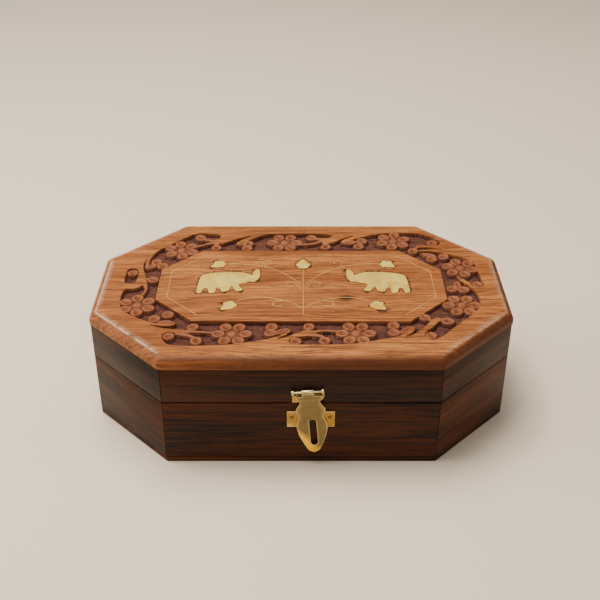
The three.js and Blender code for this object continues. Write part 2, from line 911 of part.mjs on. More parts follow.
function haspFlap() {
  const edge = new THREE.SplineCurve(flapEdge.map(([drop, half]) => new THREE.Vector2(half, -drop)));
  const halves = edge.getPoints(flapSteps).slice(0, -1);
  const right = halves.map(({ x, y }) => [flapOffset + x, y]);
  const left = halves.map(({ x, y }) => [flapOffset - x, y]).reverse();
  const tip = [flapOffset, -flapEdge.at(-1)[0]];
  const tongue = tongueWidth / 2;
  const shoulder = -flapEdge[0][0];
  const neckRight = [
    [tongue, 0],
    [tongue, shoulder],
  ];
  const neckLeft = neckRight.map(([x, y]) => [-x, y]).reverse();
  const outline = [...neckRight, ...right, tip, ...left, ...neckLeft];
  let solid = plate(outline, flapNear, flapFar);
  solid = solid.add(bar(haspKnuckle, -tongue, tongue, -pinOut));
  const slotX = flapOffset + slotOffset;
  const slotRadius = slotWidth / 2;
  const slotRun = [slotTop + slotRadius, slotBottom - slotRadius];
  const slotOutline = [];
  for (let i = 0; i <= 8; i++) {
    const angle = (i * Math.PI) / 8;
    slotOutline.push([slotX + slotRadius * Math.cos(angle), slotRadius * Math.sin(angle) - slotRun[0]]);
  }
  for (let i = 0; i <= 8; i++) {
    const angle = Math.PI + (i * Math.PI) / 8;
    slotOutline.push([slotX + slotRadius * Math.cos(angle), slotRadius * Math.sin(angle) - slotRun[1]]);
  }
  solid = solid.subtract(plate(slotOutline, 0, flapFar + overlap));
  return solid.subtract(bar(haspBore, -tongue - overlap, tongue + overlap, -pinOut));
}

addPiece(hasp, "hasp_plate", haspPlate(), haspBrass);
addPiece(hasp, "hasp_pin", bar(haspPinRadius, -halfPlate, halfPlate, -pinOut), haspBrass);
addPiece(hasp, "hasp_flap", haspFlap(), haspBrass);

// The hinges: a leaf on each back wall, with knuckles that share a pin just behind the seam

const hingeOut = glueLine + knuckleRadius;
const halfHinge = hingeWidth / 2;
const knuckleThird = hingeWidth / 3;
const leafStart = knuckleRadius + leafGap;

function hingeLeaf(hinge, half) {
  const sign = half === "lid" ? 1 : -1;
  const heights = [sign * leafStart, sign * (leafStart + leafHeight)].sort((a, b) => a - b);
  const depth = [glueLine, glueLine + plateThickness];
  const centre = [-knuckleThird / 2 + knuckleGap, knuckleThird / 2 - knuckleGap];
  const outside = [
    [-halfHinge, -knuckleThird / 2],
    [knuckleThird / 2, halfHinge],
  ];
  const spans = half === "lid" ? [centre] : outside;
  let solid = block([-halfHinge, halfHinge], depth, heights);
  const reach = [0, sign * (leafStart + overlap)].sort((a, b) => a - b);
  for (const span of spans) {
    solid = solid.add(block(span, depth, reach));
    solid = solid.add(bar(knuckleRadius, ...span, hingeOut));
  }
  const bore = hingePinRadius + runningClearance;
  solid = solid.subtract(bar(bore, -halfHinge - overlap, halfHinge + overlap, hingeOut));
  for (const { x, z } of hingeNails(hinge, half)) {
    solid = solid.subtract(nailHole(x - hinge.x, z - hingeHeight, 0));
  }
  return solid;
}

for (const hinge of hingeSides) {
  const group = new THREE.Group();
  group.position.set(hinge.x, backFace, hingeHeight);
  box.add(group);
  addPiece(group, hinge.name + "_base_leaf", hingeLeaf(hinge, "base"), haspBrass);
  addPiece(group, hinge.name + "_lid_leaf", hingeLeaf(hinge, "lid"), haspBrass);
  addPiece(group, hinge.name + "_pin", bar(hingePinRadius, -halfHinge, halfHinge, hingeOut), haspBrass);
  for (const half of ["base", "lid"]) {
    for (const { name, x, z } of hingeNails(hinge, half)) {
      addPiece(box, name, nail(x, z, backFace + nailSeat, 1), haspBrass);
    }
  }
}

export default box;
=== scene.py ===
"""The finish of an eight-sided wooden trinket box: carved lid, brass inlay, brass hasp and hinges.

Sizes are millimetres unless a name says otherwise. +X is to the right, +Y to the back, +Z up.
"""
import math

import bmesh
import bpy
import numpy as np
from mathutils import Matrix, Vector
from mathutils.geometry import delaunay_2d_cdt


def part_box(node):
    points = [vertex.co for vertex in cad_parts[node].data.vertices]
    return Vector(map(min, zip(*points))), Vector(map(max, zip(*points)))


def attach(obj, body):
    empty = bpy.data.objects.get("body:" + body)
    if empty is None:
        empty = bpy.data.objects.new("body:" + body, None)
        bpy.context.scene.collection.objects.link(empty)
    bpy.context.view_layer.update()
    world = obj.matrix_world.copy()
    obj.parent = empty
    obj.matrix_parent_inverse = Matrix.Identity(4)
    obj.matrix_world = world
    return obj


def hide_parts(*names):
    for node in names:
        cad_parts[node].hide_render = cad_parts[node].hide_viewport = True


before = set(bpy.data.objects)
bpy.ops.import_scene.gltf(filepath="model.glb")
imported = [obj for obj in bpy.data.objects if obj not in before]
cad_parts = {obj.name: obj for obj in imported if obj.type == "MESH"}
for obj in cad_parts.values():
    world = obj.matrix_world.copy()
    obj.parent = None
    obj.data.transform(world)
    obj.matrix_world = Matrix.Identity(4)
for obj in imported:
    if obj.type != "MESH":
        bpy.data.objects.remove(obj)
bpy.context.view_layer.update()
mm = 0.001

# The floor board
# One thin board of the same wood as the walls, glued flush under them. Its edge shows as a thin
# strip a little lighter than the walls, and its arrises are eased by sanding.


def linked(name, data):
    piece = bpy.data.objects.new(name, data)
    bpy.context.scene.collection.objects.link(piece)
    return piece


def soften(mesh, crease=32):
    """Smooth shading, with a hard line wherever two faces turn by more than the crease."""
    mesh.polygons.foreach_set("use_smooth", [True] * len(mesh.polygons))
    mesh.set_sharp_from_angle(angle=math.radians(crease))


def rounded(points, rounds, share):
    """A closed outline with its corners cut back again and again, which leaves it smooth."""
    for _ in range(rounds):
        onward = np.roll(points, -1, 0)
        points = np.stack([points * (1 - share) + onward * share, points * share + onward * (1 - share)], 1)
        points = points.reshape(-1, 2)
    return points


def eased(node, name, arris, steps=2):
    """A copy of a piece of the frame, with its arrises rounded over."""
    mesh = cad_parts[node].data.copy()
    mesh.materials.clear()
    form = bmesh.new()
    form.from_mesh(mesh)
    bmesh.ops.remove_doubles(form, verts=form.verts, dist=1e-6)
    bmesh.ops.dissolve_limit(form, angle_limit=math.radians(1), verts=form.verts, edges=form.edges)
    corners = [e for e in form.edges if len(e.link_faces) == 2 and e.calc_face_angle() > math.radians(28)]
    bmesh.ops.bevel(
        form, geom=corners, offset=arris * mm, segments=steps, profile=0.5, affect="EDGES", clamp_overlap=True
    )
    bmesh.ops.triangulate(form, faces=[f for f in form.faces if len(f.verts) > 4])
    form.to_mesh(mesh)
    form.free()
    soften(mesh)
    return linked(name, mesh)


class Shade:
    """A value that changes over a surface. Python's operators on it add Math nodes."""

    def __init__(self, finish, socket):
        self.finish = finish
        self.socket = socket

    def maths(self, operation, *others, clamp=False):
        sockets = dict(enumerate((self,) + others))
        return self.finish.node("ShaderNodeMath", {"operation": operation, "use_clamp": clamp}, sockets)

    def __add__(self, other):
        return self.maths("ADD", other)

    def __mul__(self, other):
        return self.maths("MULTIPLY", other)

    def __sub__(self, other):
        return self.maths("SUBTRACT", other)

    def __rsub__(self, other):
        return (self * -1).maths("ADD", other)

    def __truediv__(self, other):
        return self.maths("DIVIDE", other)

    __radd__ = __add__
    __rmul__ = __mul__

    def ramp(self, low, high):
        """0 below low, 1 above high, and an even rise between them."""
        return ((self - low) * (1 / (high - low))).maths("ADD", 0, clamp=True)


class Finish:
    """One material: its nodes, and the shader that they feed."""

    def __init__(self, name, **values):
        self.material = bpy.data.materials.new(name)
        self.material.use_nodes = True
        self.tree = self.material.node_tree
        self.shader = self.tree.nodes["Principled BSDF"]
        self.feed(**values)

    def node(self, kind, settings=None, sockets=None, out=0):
        made = self.tree.nodes.new(kind)
        for key, value in (settings or {}).items():
            setattr(made, key, value)
        for key, value in (sockets or {}).items():
            self.join(made.inputs[key], value)
        return Shade(self, made.outputs[out])

    def join(self, socket, value):
        if isinstance(value, Shade):
            self.tree.links.new(value.socket, socket)
        else:
            socket.default_value = value

    def feed(self, **values):
        for key, value in values.items():
            self.join(self.shader.inputs[key.replace("_", " ")], value)

    def mix(self, share, first, second, blend="MIX"):
        tint = [c + (1,) if isinstance(c, tuple) else c for c in (first, second)]
        settings = {"data_type": "RGBA", "blend_type": blend, "clamp_factor": True}
        return self.node("ShaderNodeMix", settings, {0: share, 6: tint[0], 7: tint[1]}, out=2)

    def noise(self, place, scale=1.0, detail=3.0, rough=0.5, warp=0.0):
        sockets = {"Vector": place, "Scale": scale, "Detail": detail, "Roughness": rough, "Distortion": warp}
        return self.node("ShaderNodeTexNoise", {"noise_dimensions": "3D"}, sockets)

    def point(self, x, y, z):
        return self.node("ShaderNodeCombineXYZ", None, {0: x, 1: y, 2: z})

    def streaks(self, axes, shares, *settings):
        """Noise drawn out along each axis, the longer the smaller that axis's share."""
        return self.noise(self.point(*(axis * share for axis, share in zip(axes, shares))), 1.0, *settings)

    def parts(self, vector):
        split = self.tree.nodes.new("ShaderNodeSeparateXYZ")
        self.join(split.inputs[0], vector)
        return [Shade(self, socket) for socket in split.outputs]

    def bump(self, height, distance, strength=1.0):
        return self.node(
            "ShaderNodeBump", None, {"Height": height, "Distance": distance * mm, "Strength": strength}
        )

    def value(self, name, out=2):
        """A number stored on the mesh's points, or with out=0 a colour and with out=1 a vector."""
        return self.node("ShaderNodeAttribute", {"attribute_name": name}, out=out)

    def place(self):
        """Where a point lies on its piece, in metres."""
        return self.node("ShaderNodeTexCoord", out="Object")


def store(mesh, name, kind, values):
    layer = mesh.attributes.new(name, kind, "POINT")
    key = {"FLOAT": "value", "FLOAT_VECTOR": "vector", "FLOAT_COLOR": "color"}[kind]
    layer.data.foreach_set(key, np.asarray(values, np.float32).ravel())


def mesh_points(mesh):
    points = np.zeros(len(mesh.vertices) * 3)
    mesh.vertices.foreach_get("co", points)
    return points.reshape(-1, 3) / mm


def lay_grain(piece, heading, start, tint):
    """Stores where each point lies in its board, along the grain first, and the board's tint: its own tone
    with painted light and shade.
    """
    points = mesh_points(piece.data)
    along = points[:, 0] * math.cos(heading) + points[:, 1] * math.sin(heading)
    across = points[:, 1] * math.cos(heading) - points[:, 0] * math.sin(heading)
    grain = np.stack([along + start[0], points[:, 2] + start[1], across + start[2]], 1)
    store(piece.data, "grain", "FLOAT_VECTOR", grain)
    store(piece.data, "tint", "FLOAT_COLOR", np.tile(tint + (1,), (len(points), 1)))


# Dark rosewood: near-black streaks in a brown that turns reddish, with fine open pores
def dark_wood():
    wood = Finish("dark rosewood", Roughness=0.42, Coat_Weight=0.02)
    wood.feed(Coat_Roughness=0.35, Specular_IOR_Level=0.16)
    along, height, depth = wood.parts(wood.value("grain", out=1))
    drift = wood.streaks((along, height, depth), (0.009, 0.03, 0.03), 2.0)
    board = (along, height + (drift - 0.5) * 11, depth)
    broad = wood.streaks(board, (0.009, 0.10, 0.05), 3.0, 0.55, 0.5)
    fine = wood.streaks(board, (0.022, 0.75, 0.3), 4.0, 0.65)
    pores = wood.streaks(board, (0.16, 4.2, 4.2), 2.0, 0.6)
    base = wood.mix(broad.ramp(0.42, 0.60), (0.0015, 0.0003, 0.0001), (0.088, 0.0200, 0.0010))
    lines = wood.mix(fine.ramp(0.40, 0.66) * 0.75, base, (0.078, 0.0195, 0.0025))
    dark = wood.mix(fine.ramp(0.50, 0.36) * 0.8, lines, (0.005, 0.0014, 0.0006))
    specks = wood.mix(pores.ramp(0.60, 0.70) * 0.5, dark, (0.004, 0.0013, 0.0006))
    # The board's tint multiplies in: its own tone, and painted light and shade by side.
    toned = wood.mix(1.0, specks, wood.value("tint", out=0), "MULTIPLY")
    relief = fine * 0.35 - pores.ramp(0.58, 0.70) * 0.8
    rough = 0.40 + fine * 0.10 + pores.ramp(0.58, 0.7) * 0.2
    wood.feed(Base_Color=toned, Roughness=rough, Normal=wood.bump(relief, 0.10, 0.6))
    return wood.material


wall_wood = dark_wood()
floor_board = eased("base_floor", "floor_board", 0.5)
lay_grain(floor_board, 0, (31, 90, 0), (1.1, 1.0, 0.9))
floor_board.data.materials.append(wall_wood)
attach(floor_board, "base")
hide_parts("base_floor")

# The walls of the base and of the lid
# Eight boards each, mitred and glued at the corners. Base and lid were one carcass, sawn apart
# along the seam, so a lid board has the figure of the base board below it, darkened by painted shade.

side_names = ["front", "front_right", "right", "back_right", "back", "back_left", "left", "front_left"]
# Each board's tint is partly its own tone and partly painted light: the front board darker as painted shade,
# the right-hand boards lighter as painted light, and the left-hand ones greyer as painted reflection of the
# pale floor.
board_tones_and_painted_light = [
    (0.85, 0.75, 0.6), (1.15, 1.0, 0.7), (1.35, 1.2, 0.9), (1.1, 1.1, 1.1),
    (1.0, 1.0, 1.0), (1.2, 1.15, 1.1), (1.3, 1.35, 1.6), (0.85, 0.9, 1.1),
]
board_starts = [(0, 12), (210, 61), (420, 33), (640, 85), (830, 20), (1010, 52), (1240, 71), (1400, 46)]
board_gap = 40
# Share that darkens the lid boards: painted shade under the lid board's nosing.
lid_painted_shade = 0.72

for half, body in (("base_wall_", "base"), ("lid_wall_", "lid")):
    for side, side_name in enumerate(side_names):
        wall = eased(half + side_name, body + "_board_" + side_name, 0.3)
        tint = tuple(share * (lid_painted_shade if body == "lid" else 1.0) for share in board_tones_and_painted_light[side])
        lay_grain(wall, side * math.pi / 4, board_starts[side] + (side * board_gap,), tint)
        wall.data.materials.append(wall_wood)
        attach(wall, body)
        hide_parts(half + side_name)

# The lid board
# One board of lighter, tan-orange wood with its grain along the box. Its edge is a rounded nosing
# below a worn arris, and the border is sunk and carved by hand round the centre panel.

low, high = (np.array(corner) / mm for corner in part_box("lid_top"))
board_length = high[0] - low[0]
board_width = high[1] - low[1]
underside = low[2]
board_top = high[2]
corner_cut = 37.4
board_overhang = 0.5
nosing_run = 3.5
nosing_drop = 4.0
frame_width = 8.0
carving_depth = 2.0
panel_size = {"half_length": 71.0, "half_width": 33.5, "cut": 19.3}


def octagon(half_length, half_width, cut):
    a, b = half_length - cut, half_width - cut
    return [
        (a, -half_width), (half_length, -b), (half_length, b), (a, half_width),
        (-a, half_width), (-half_length, b), (-half_length, -b), (-a, -half_width),
    ]


def inset(size, distance):
    return {
        "half_length": size["half_length"] - distance,
        "half_width": size["half_width"] - distance,
        "cut": size["cut"] - distance * (2 - math.sqrt(2)),
    }


def octagon_distance(size, x, y):
    """How far points lie outside an octagon's sides; less than nothing inside it."""
    slant = (np.abs(x) + np.abs(y) - size["half_length"] - size["half_width"] + size["cut"]) / math.sqrt(2)
    return np.maximum(np.maximum(np.abs(x) - size["half_length"], np.abs(y) - size["half_width"]), slant)


board_size = {"half_length": board_length / 2, "half_width": board_width / 2, "cut": corner_cut}
band_size = inset(board_size, nosing_run + frame_width)

# The border's figures, laid out along the band and all a little different: flowers as
# (x, y, turn in degrees)
flowers = [
    (-32, -43.5, 0), (25.3, -43.1, 0), (77.6, -19, 0), (81.6, 16.5, 45), (49.4, 44.8, 20),
    (-8.8, 43, 0), (-63.1, 35, 40), (-79.2, -19, 35),
]

# Half flowers: two petals, then a leaf from its tail to its tip
half_flowers = [
    ((-13.7, -37.7), (-14.3, -42.7), (-12.2, -43.4), (-5.2, -39.2)),
    ((43.2, -36.6), (42.9, -42.3), (45.6, -43.4), (52.8, -36.9)),
    ((74.8, -3.9), (80.5, -4.7), (78, -3.2), (77.6, 3.9)),
    ((67.9, 25.5), (74.4, 28), (71, 27.6), (62.3, 31.8)),
    ((32.6, 44.9), (30.6, 38.9), (30, 44), (22, 42.4)),
    ((-28.2, 42), (-28.6, 37), (-28.4, 43.8), (-34.2, 40.2)),
    ((-74.8, 22.4), (-71.2, 18.4), (-74.6, 20), (-79.4, 15.2)),
    ((-69.4, -30.9), (-63.3, -27.3), (-68, -34.6), (-59.6, -33.4)),
]

# Buds: a place, the way the bud points in degrees, and how long it is for its width
buds = [
    (3.6, -37.6, 90, 1.05), (-2.5, -49.5, 230, 1), (10.7, -49.1, -70, 1.05), (58.6, -29.8, 120, 1),
    (69, -33, -20, 1.15), (59.8, -44.9, -70, 1), (88, 0, -60, 1), (59, 34.1, 240, 1.1),
    (70.1, 42.7, 60, 1.05), (13.1, 38.5, 270, 1.05), (5.6, 48.4, 140, 1.1), (19.1, 49.4, 30, 1),
    (-44.9, 37.3, 270, 1.05), (-54.1, 48.4, 130, 1.3), (-40.5, 48.4, 30, 1), (-74.4, 4.7, -40, 1.1),
    (-85.5, 11.3, 90, 1), (-50.5, -37.9, 60, 1.05), (-48.1, -49.1, -70, 1.15), (-61.1, -45.6, 200, 1),
]

# Thin stems that cross the sunk ground: points, then widths
stems = [
    ([(2.4, -43), (10, -40.9), (18, -41.6)], (3, 1.5, 1.3)),
    ([(3, -42.6), (3.5, -39)], (2.6, 1.8)),
    ([(3, -44), (8.4, -45), (11, -47.4)], (2.8, 2, 1.8)),
    ([(62.4, -33.6), (60.2, -31.2)], (2.2, 1.8)),
    ([(63.6, -31.6), (67.4, -31.9)], (2.6, 2.2)),
    ([(80.6, 3.6), (79.2, 8.4)], (1.6, 1.2)),
    ([(62.4, 38.4), (60.4, 36.6)], (2, 1.8)),
    ([(13, 44.4), (13.1, 40.6)], (3.6, 2.2)),
    ([(11.6, 45.4), (6, 41.9), (-2, 40.8)], (2.6, 1.7, 1.4)),
    ([(14.6, 46.8), (8.4, 47.2)], (2.8, 2.2)),
    ([(-45.4, 43.6), (-44.9, 39.4)], (3.4, 2.2)),
    ([(-45.4, 43.6), (-51, 41), (-57, 37.6)], (2.6, 1.6, 1.3)),
    ([(-46.2, 44.4), (-51.6, 46.4)], (2.4, 2)),
    ([(-78.6, 30), (-79.4, 24), (-79.2, 17)], (3, 2, 2.2)),
    ([(-78.4, 2), (-76.8, -4.6), (-78.2, -10.6)], (3, 1.5, 1.3)),
    ([(-79.2, 5.4), (-76.4, 5.2)], (2.2, 2)),
    ([(-56, -42), (-49, -41.8), (-40.4, -42.6)], (3, 1.7, 1.4)),
    ([(-53, -41.6), (-51.2, -39.4)], (2.4, 1.8)),
    ([(-57, -43), (-51.8, -44.9), (-48.8, -47.2)], (3, 2, 1.9)),
]

# The edge of the sunk ground, anticlockwise. The frame's wood runs over it as broad stems.
ground_edge = [
    (-64.6, -46.4), (-62.2, -51.4), (-59, -53.6), (-45, -53.7), (-34, -52.9), (-26.2, -51.4),
    (-17.5, -49.2), (-11.1, -46.3), (-7.4, -43.7), (-4.6, -39.6), (-5.4, -42.8), (-8.4, -45.9),
    (-12.6, -48.9), (-9.8, -48.2), (-5.5, -45.7), (-1.2, -43.1), (1.6, -41.2), (4.6, -41),
    (5.6, -43.6), (3, -45.8), (-0.6, -46.2), (-4.6, -46.9), (-6.2, -50), (-4.4, -52.8), (3, -52.8),
    (12, -52.9), (22, -52.4), (29.4, -50.8), (36.5, -48.7), (43.7, -46.5), (49.3, -43), (53.4, -36.9),
    (52.8, -40.9), (50.2, -44.3), (45.8, -47.4), (49.8, -45.9), (53.3, -43.3), (57.2, -38.7),
    (60.4, -34.2), (62.4, -31.2), (65.2, -30), (66.4, -32.4), (63.6, -34.6), (61.6, -38.4),
    (58, -41.4), (56.2, -45.2), (58.4, -48.6), (62.5, -48), (66.5, -44.5), (71.5, -38.3), (76, -33.4),
    (80.5, -28.9), (85.6, -22), (87.3, -15.5), (86.8, -10.5), (85.6, -6.2), (83.4, -1.9), (80.9, 2.6),
    (79.6, 5.6), (81.4, 5.2), (82.9, 2.6), (84.6, 0.8), (85, -2.4), (88, -3.8), (91, -2), (91, 3),
    (90.2, 9), (90, 16), (89.4, 20.8), (87.2, 24.2), (82.5, 27.6), (77.3, 30.4), (72, 32.4),
    (66.5, 33.4), (61.6, 32.8), (62.4, 34.6), (67.5, 35.2), (72.5, 34.9), (77.4, 33.2), (72, 36.5),
    (66.5, 37.4), (61.4, 37.2), (61, 39.4), (66, 39.6), (70, 38.9), (73.6, 40), (75, 43.4),
    (71.2, 47.6), (66, 51.6), (62.8, 53.4), (53, 53.5), (44.4, 52.9), (37.4, 50.9), (31.6, 48.1),
    (26.5, 45.4), (21.2, 42.2), (21.6, 44.2), (25.2, 47.6), (30.2, 51), (25.4, 49.1), (20.5, 45.6),
    (16.4, 42.3), (12.8, 42), (10.4, 43.4), (10.6, 45.8), (14.2, 47.8), (16.8, 49), (17.2, 51.8),
    (8.5, 52.2), (0, 52.6), (-10, 52.8), (-16.8, 52.6), (-21.5, 50.2), (-26, 46.7), (-30, 44),
    (-34.8, 40.4), (-33.6, 43.6), (-29.8, 47.4), (-25.6, 50.8), (-30.8, 48.8), (-36, 45.7),
    (-42, 41.6), (-45.2, 41.4), (-47.8, 42.6), (-47.4, 45), (-44.6, 46.8), (-43.2, 48.6),
    (-43.6, 51.6), (-50, 52.8), (-56.4, 53), (-60.4, 50), (-66.5, 43.6), (-71.5, 38), (-76.2, 32.8),
    (-77.4, 28.8), (-80.2, 27), (-81.3, 21.5), (-80.9, 15.8), (-79.7, 11), (-78.4, 7.4), (-77.6, 3.4),
    (-76.8, 0), (-79.6, -1.2), (-81, -3.8), (-83, -4.6), (-87.8, -4.4), (-88.2, -12.9), (-87.7, -18),
    (-86.3, -23.4), (-82.7, -27), (-78.4, -30), (-73, -33.4), (-68, -35.6), (-62.5, -36.4),
    (-58.6, -34.2), (-59.6, -37.2), (-66, -37.6), (-73.4, -34.9), (-66.9, -38.9), (-58.3, -40.4),
    (-54, -40.2), (-53, -42.8), (-57, -43.8), (-60.6, -42), (-63.8, -43.2),
]

# A pocket sunk by itself in the frame at the left end
pocket_edge = [
    (-88.8, 14.2), (-88.9, 8), (-88.6, 1), (-85.6, 0.9), (-82.7, 1.2), (-82.3, 8), (-82.4, 12.6),
    (-84, 15), (-86.8, 15.2),
]


def unit(values):
    return np.clip(values, 0, 1)


def bell(values):
    return np.exp(-(values ** 2))


far_off = 50.0
petal_radius = 3.05
petal_reach = 6.3
bud_radius = 2.9
heart_radius = 3.4


class Carving:
    """The raised figures over a set of points: how near each point is to one, and its height there."""

    def __init__(self, x, y):
        self.x = x
        self.y = y
        self.distance = np.full(x.shape, far_off)
        self.height = np.full(x.shape, -far_off)
        self.cut = np.zeros(x.shape)

    def add(self, distance, height, cut=0.0):
        """A figure: its edge distance, its height below the lid's top, and the painted shade that its hollows
        and sloping edges get.
        """
        inside = distance < 0.02
        higher = inside & (height > self.height)
        self.height = np.where(higher, height, self.height)
        self.cut = np.where(higher, cut, self.cut)
        self.distance = np.minimum(self.distance, distance)

    def dish(self, at, radius, heading=0.0, stretch=1.0):
        """A round petal or bud, hollowed by one turn of a gouge, with a rim left round the hollow."""
        dx, dy = self.x - at[0], self.y - at[1]
        ahead = (dx * math.cos(heading) + dy * math.sin(heading)) / stretch
        aside = dy * math.cos(heading) - dx * math.sin(heading)
        around = np.hypot(ahead, aside)
        share = around / radius
        rim = -0.10 - 0.55 * unit((share - 0.80) / 0.2) ** 2
        hollow = unit(1 - (np.hypot(ahead * 0.82, aside * 1.15) / (radius * 0.66)) ** 2)
        crease = bell(aside / 0.35) * unit(1 - np.abs(ahead) / (radius * 0.6))
        height = rim - 0.95 * hollow ** 0.8 - 0.15 * crease
        cut = unit(hollow * 0.8 + unit((share - 0.82) / 0.18) * 0.9)
        self.add(around - radius, height, cut)

    def heart(self, at):
        """The middle of a flower: a round boss inside a ring cut with a small gouge."""
        around = np.hypot(self.x - at[0], self.y - at[1])
        groove = bell((around - 2.35) / 0.42)
        boss = unit(1 - (around / 2.0) ** 2)
        dimple = bell(around / 0.5)
        height = -0.28 + 0.22 * boss - 0.85 * groove - 0.35 * dimple
        inside = around < heart_radius - 0.55
        self.height = np.where(inside, height, self.height)
        self.cut = np.where(inside, unit(groove * 1.1 + dimple * 0.6), self.cut)
        self.add(around - heart_radius, np.full(self.x.shape, -0.75), 0.8)

    def stem(self, points, widths, rounding=0.35, level=-0.08):
        """A stem whose width runs evenly through the widths, with its edges eased."""
        line = smooth_line(points, 24)
        best = np.full(self.x.shape, far_off)
        half_width = np.zeros(self.x.shape)
        for i in range(len(line) - 1):
            a, b = line[i], line[i + 1]
            step = b - a
            t = unit(((self.x - a[0]) * step[0] + (self.y - a[1]) * step[1]) / (step @ step))
            away = np.hypot(self.x - a[0] - step[0] * t, self.y - a[1] - step[1] * t)
            share = (i + t) / (len(line) - 1) * (len(widths) - 1)
            half = np.interp(share, range(len(widths)), widths) / 2
            nearer = away - half < best
            best = np.where(nearer, away - half, best)
            half_width = np.where(nearer, half, half_width)
        edge = unit(1 + best / 0.7)
        vein = bell((best + half_width) / 0.3) * (half_width < 1.6)
        self.add(best, level - rounding * edge ** 2 - 0.12 * vein, edge * 0.7)

    def leaf(self, tip, tail, width):
        """A pointed leaf with a gouged middle."""
        axis = tip - tail
        length = math.hypot(*axis)
        axis = axis / length
        ahead = (self.x - tail[0]) * axis[0] + (self.y - tail[1]) * axis[1]
        aside = np.abs((self.y - tail[1]) * axis[0] - (self.x - tail[0]) * axis[1])
        share = unit(ahead / length)
        half = width / 2 * np.sin(math.pi * share ** 0.8) ** 0.8
        distance = np.maximum(aside - half, np.maximum(-ahead, ahead - length))
        hollow = unit(1 - (aside / (half * 0.55 + 0.01)) ** 2) * np.sin(math.pi * share)
        edge = unit(1 + distance / 0.6)
        cut = unit(hollow * 0.7 + edge * 0.7)
        self.add(distance, -0.12 - 0.6 * hollow - 0.35 * edge ** 2, cut)


def smooth_line(points, steps):
    """Points along a smooth curve through a few."""
    points = [np.array(p, float) for p in points]
    points = [2 * points[0] - points[1]] + points + [2 * points[-1] - points[-2]]
    line = []
    spans = len(points) - 3
    for i in range(steps + 1):
        place = i / steps * spans
        k = min(int(place), spans - 1)
        t = place - k
        a, b, c, d = points[k : k + 4]
        bend = 2 * a - 5 * b + 4 * c - d
        turn = 3 * b - a - 3 * c + d
        line.append(0.5 * (2 * b + (c - a) * t + bend * t * t + turn * t ** 3))
    return line


def loop_distance(points, x, y):
    """How far points lie outside an outline; less than nothing inside it."""
    near = np.full(x.shape, far_off)
    inside = np.zeros(x.shape, bool)
    for (ax, ay), (bx, by) in zip(points, np.roll(points, -1, 0)):
        dx, dy = bx - ax, by - ay
        t = unit(((x - ax) * dx + (y - ay) * dy) / (dx * dx + dy * dy))
        near = np.minimum(near, np.hypot(x - ax - dx * t, y - ay - dy * t))
        crosses = (ay > y) != (by > y)
        inside ^= crosses & (x < dx * (y - ay) / (dy if dy else 1e-9) + ax)
    return np.where(inside, -near, near)


ground_loop = rounded(np.array(ground_edge, float), 2, 0.25)
pocket_loop = rounded(np.array(pocket_edge, float), 2, 0.25)


def frame_distance(x, y):
    """How far points lie inside the sunk ground from the plain frame's edge."""
    return np.maximum(-loop_distance(ground_loop, x, y), -loop_distance(pocket_loop, x, y))


def carve_border(x, y):
    work = Carving(x, y)
    for points, widths in stems:
        work.stem(points, widths)
    for first, second, tail, tip in half_flowers:
        work.leaf(np.array(tip), np.array(tail), 3.9)
        away = math.atan2(tip[1] - tail[1], tip[0] - tail[0])
        for petal in (first, second):
            side = math.atan2(petal[1] - tail[1], petal[0] - tail[0])
            work.dish(petal, petal_radius, (side + away) / 2 if abs(side - away) < 2 else side, 1.0)
    for bud_x, bud_y, way, stretch in buds:
        work.dish((bud_x, bud_y), bud_radius, math.radians(way), stretch)
    for flower_x, flower_y, turn in flowers:
        for k in range(6):
            angle = math.radians(turn) + k * math.pi / 3
            middle = (flower_x + math.cos(angle) * petal_reach, flower_y + math.sin(angle) * petal_reach)
            work.dish(middle, petal_radius, angle, 1.06)
        work.heart((flower_x, flower_y))
    return work


def punched(x, y):
    """The ground's short punched strokes, each in its own cell at its own angle."""
    cell = 1.15
    depth = np.zeros(x.shape)
    for di in (-1, 0, 1):
        for dj in (-1, 0, 1):
            i = np.floor(x / cell) + di
            j = np.floor(y / cell) + dj
            dice = np.sin(i * 127.1 + j * 311.7) * 43758.5453
            dice = dice - np.floor(dice)
            more = np.sin(i * 269.5 + j * 183.3) * 12543.17
            more = more - np.floor(more)
            dx = x - (i + 0.25 + 0.5 * dice) * cell
            dy = y - (j + 0.25 + 0.5 * more) * cell
            angle = dice * 3.1
            ahead = dx * np.cos(angle) + dy * np.sin(angle)
            aside = dy * np.cos(angle) - dx * np.sin(angle)
            depth = np.maximum(depth, np.exp(-((ahead / 0.55) ** 2) - (aside / 0.24) ** 2))
    return depth


grid = 0.42
reach_out = 1.2
margin = 2


def relief_points():
    """Points over the border, those near a figure's edge moved onto it."""
    xs = np.arange(-band_size["half_length"] - margin, band_size["half_length"] + margin, grid)
    ys = np.arange(-band_size["half_width"] - margin, band_size["half_width"] + margin, grid)
    x, y = (a.ravel() for a in np.meshgrid(xs, ys))

    def edge(x, y):
        work = carve_border(x, y)
        raised = np.minimum(work.distance, frame_distance(x, y))
        return np.minimum(raised, octagon_distance(panel_size, x, y))

    kept = (frame_distance(x, y) > -reach_out) & (octagon_distance(panel_size, x, y) > -reach_out)
    x, y = x[kept], y[kept]
    small = 0.02
    for _ in range(2):
        d = edge(x, y)
        gx = (edge(x + small, y) - edge(x - small, y)) / (2 * small)
        gy = (edge(x, y + small) - edge(x, y - small)) / (2 * small)
        steep = np.maximum(np.hypot(gx, gy), 0.3)
        near = np.abs(d) < grid * 0.55
        x = np.where(near, x - d * gx / steep ** 2, x)
        y = np.where(near, y - d * gy / steep ** 2, y)
    return x, y, edge(x, y)


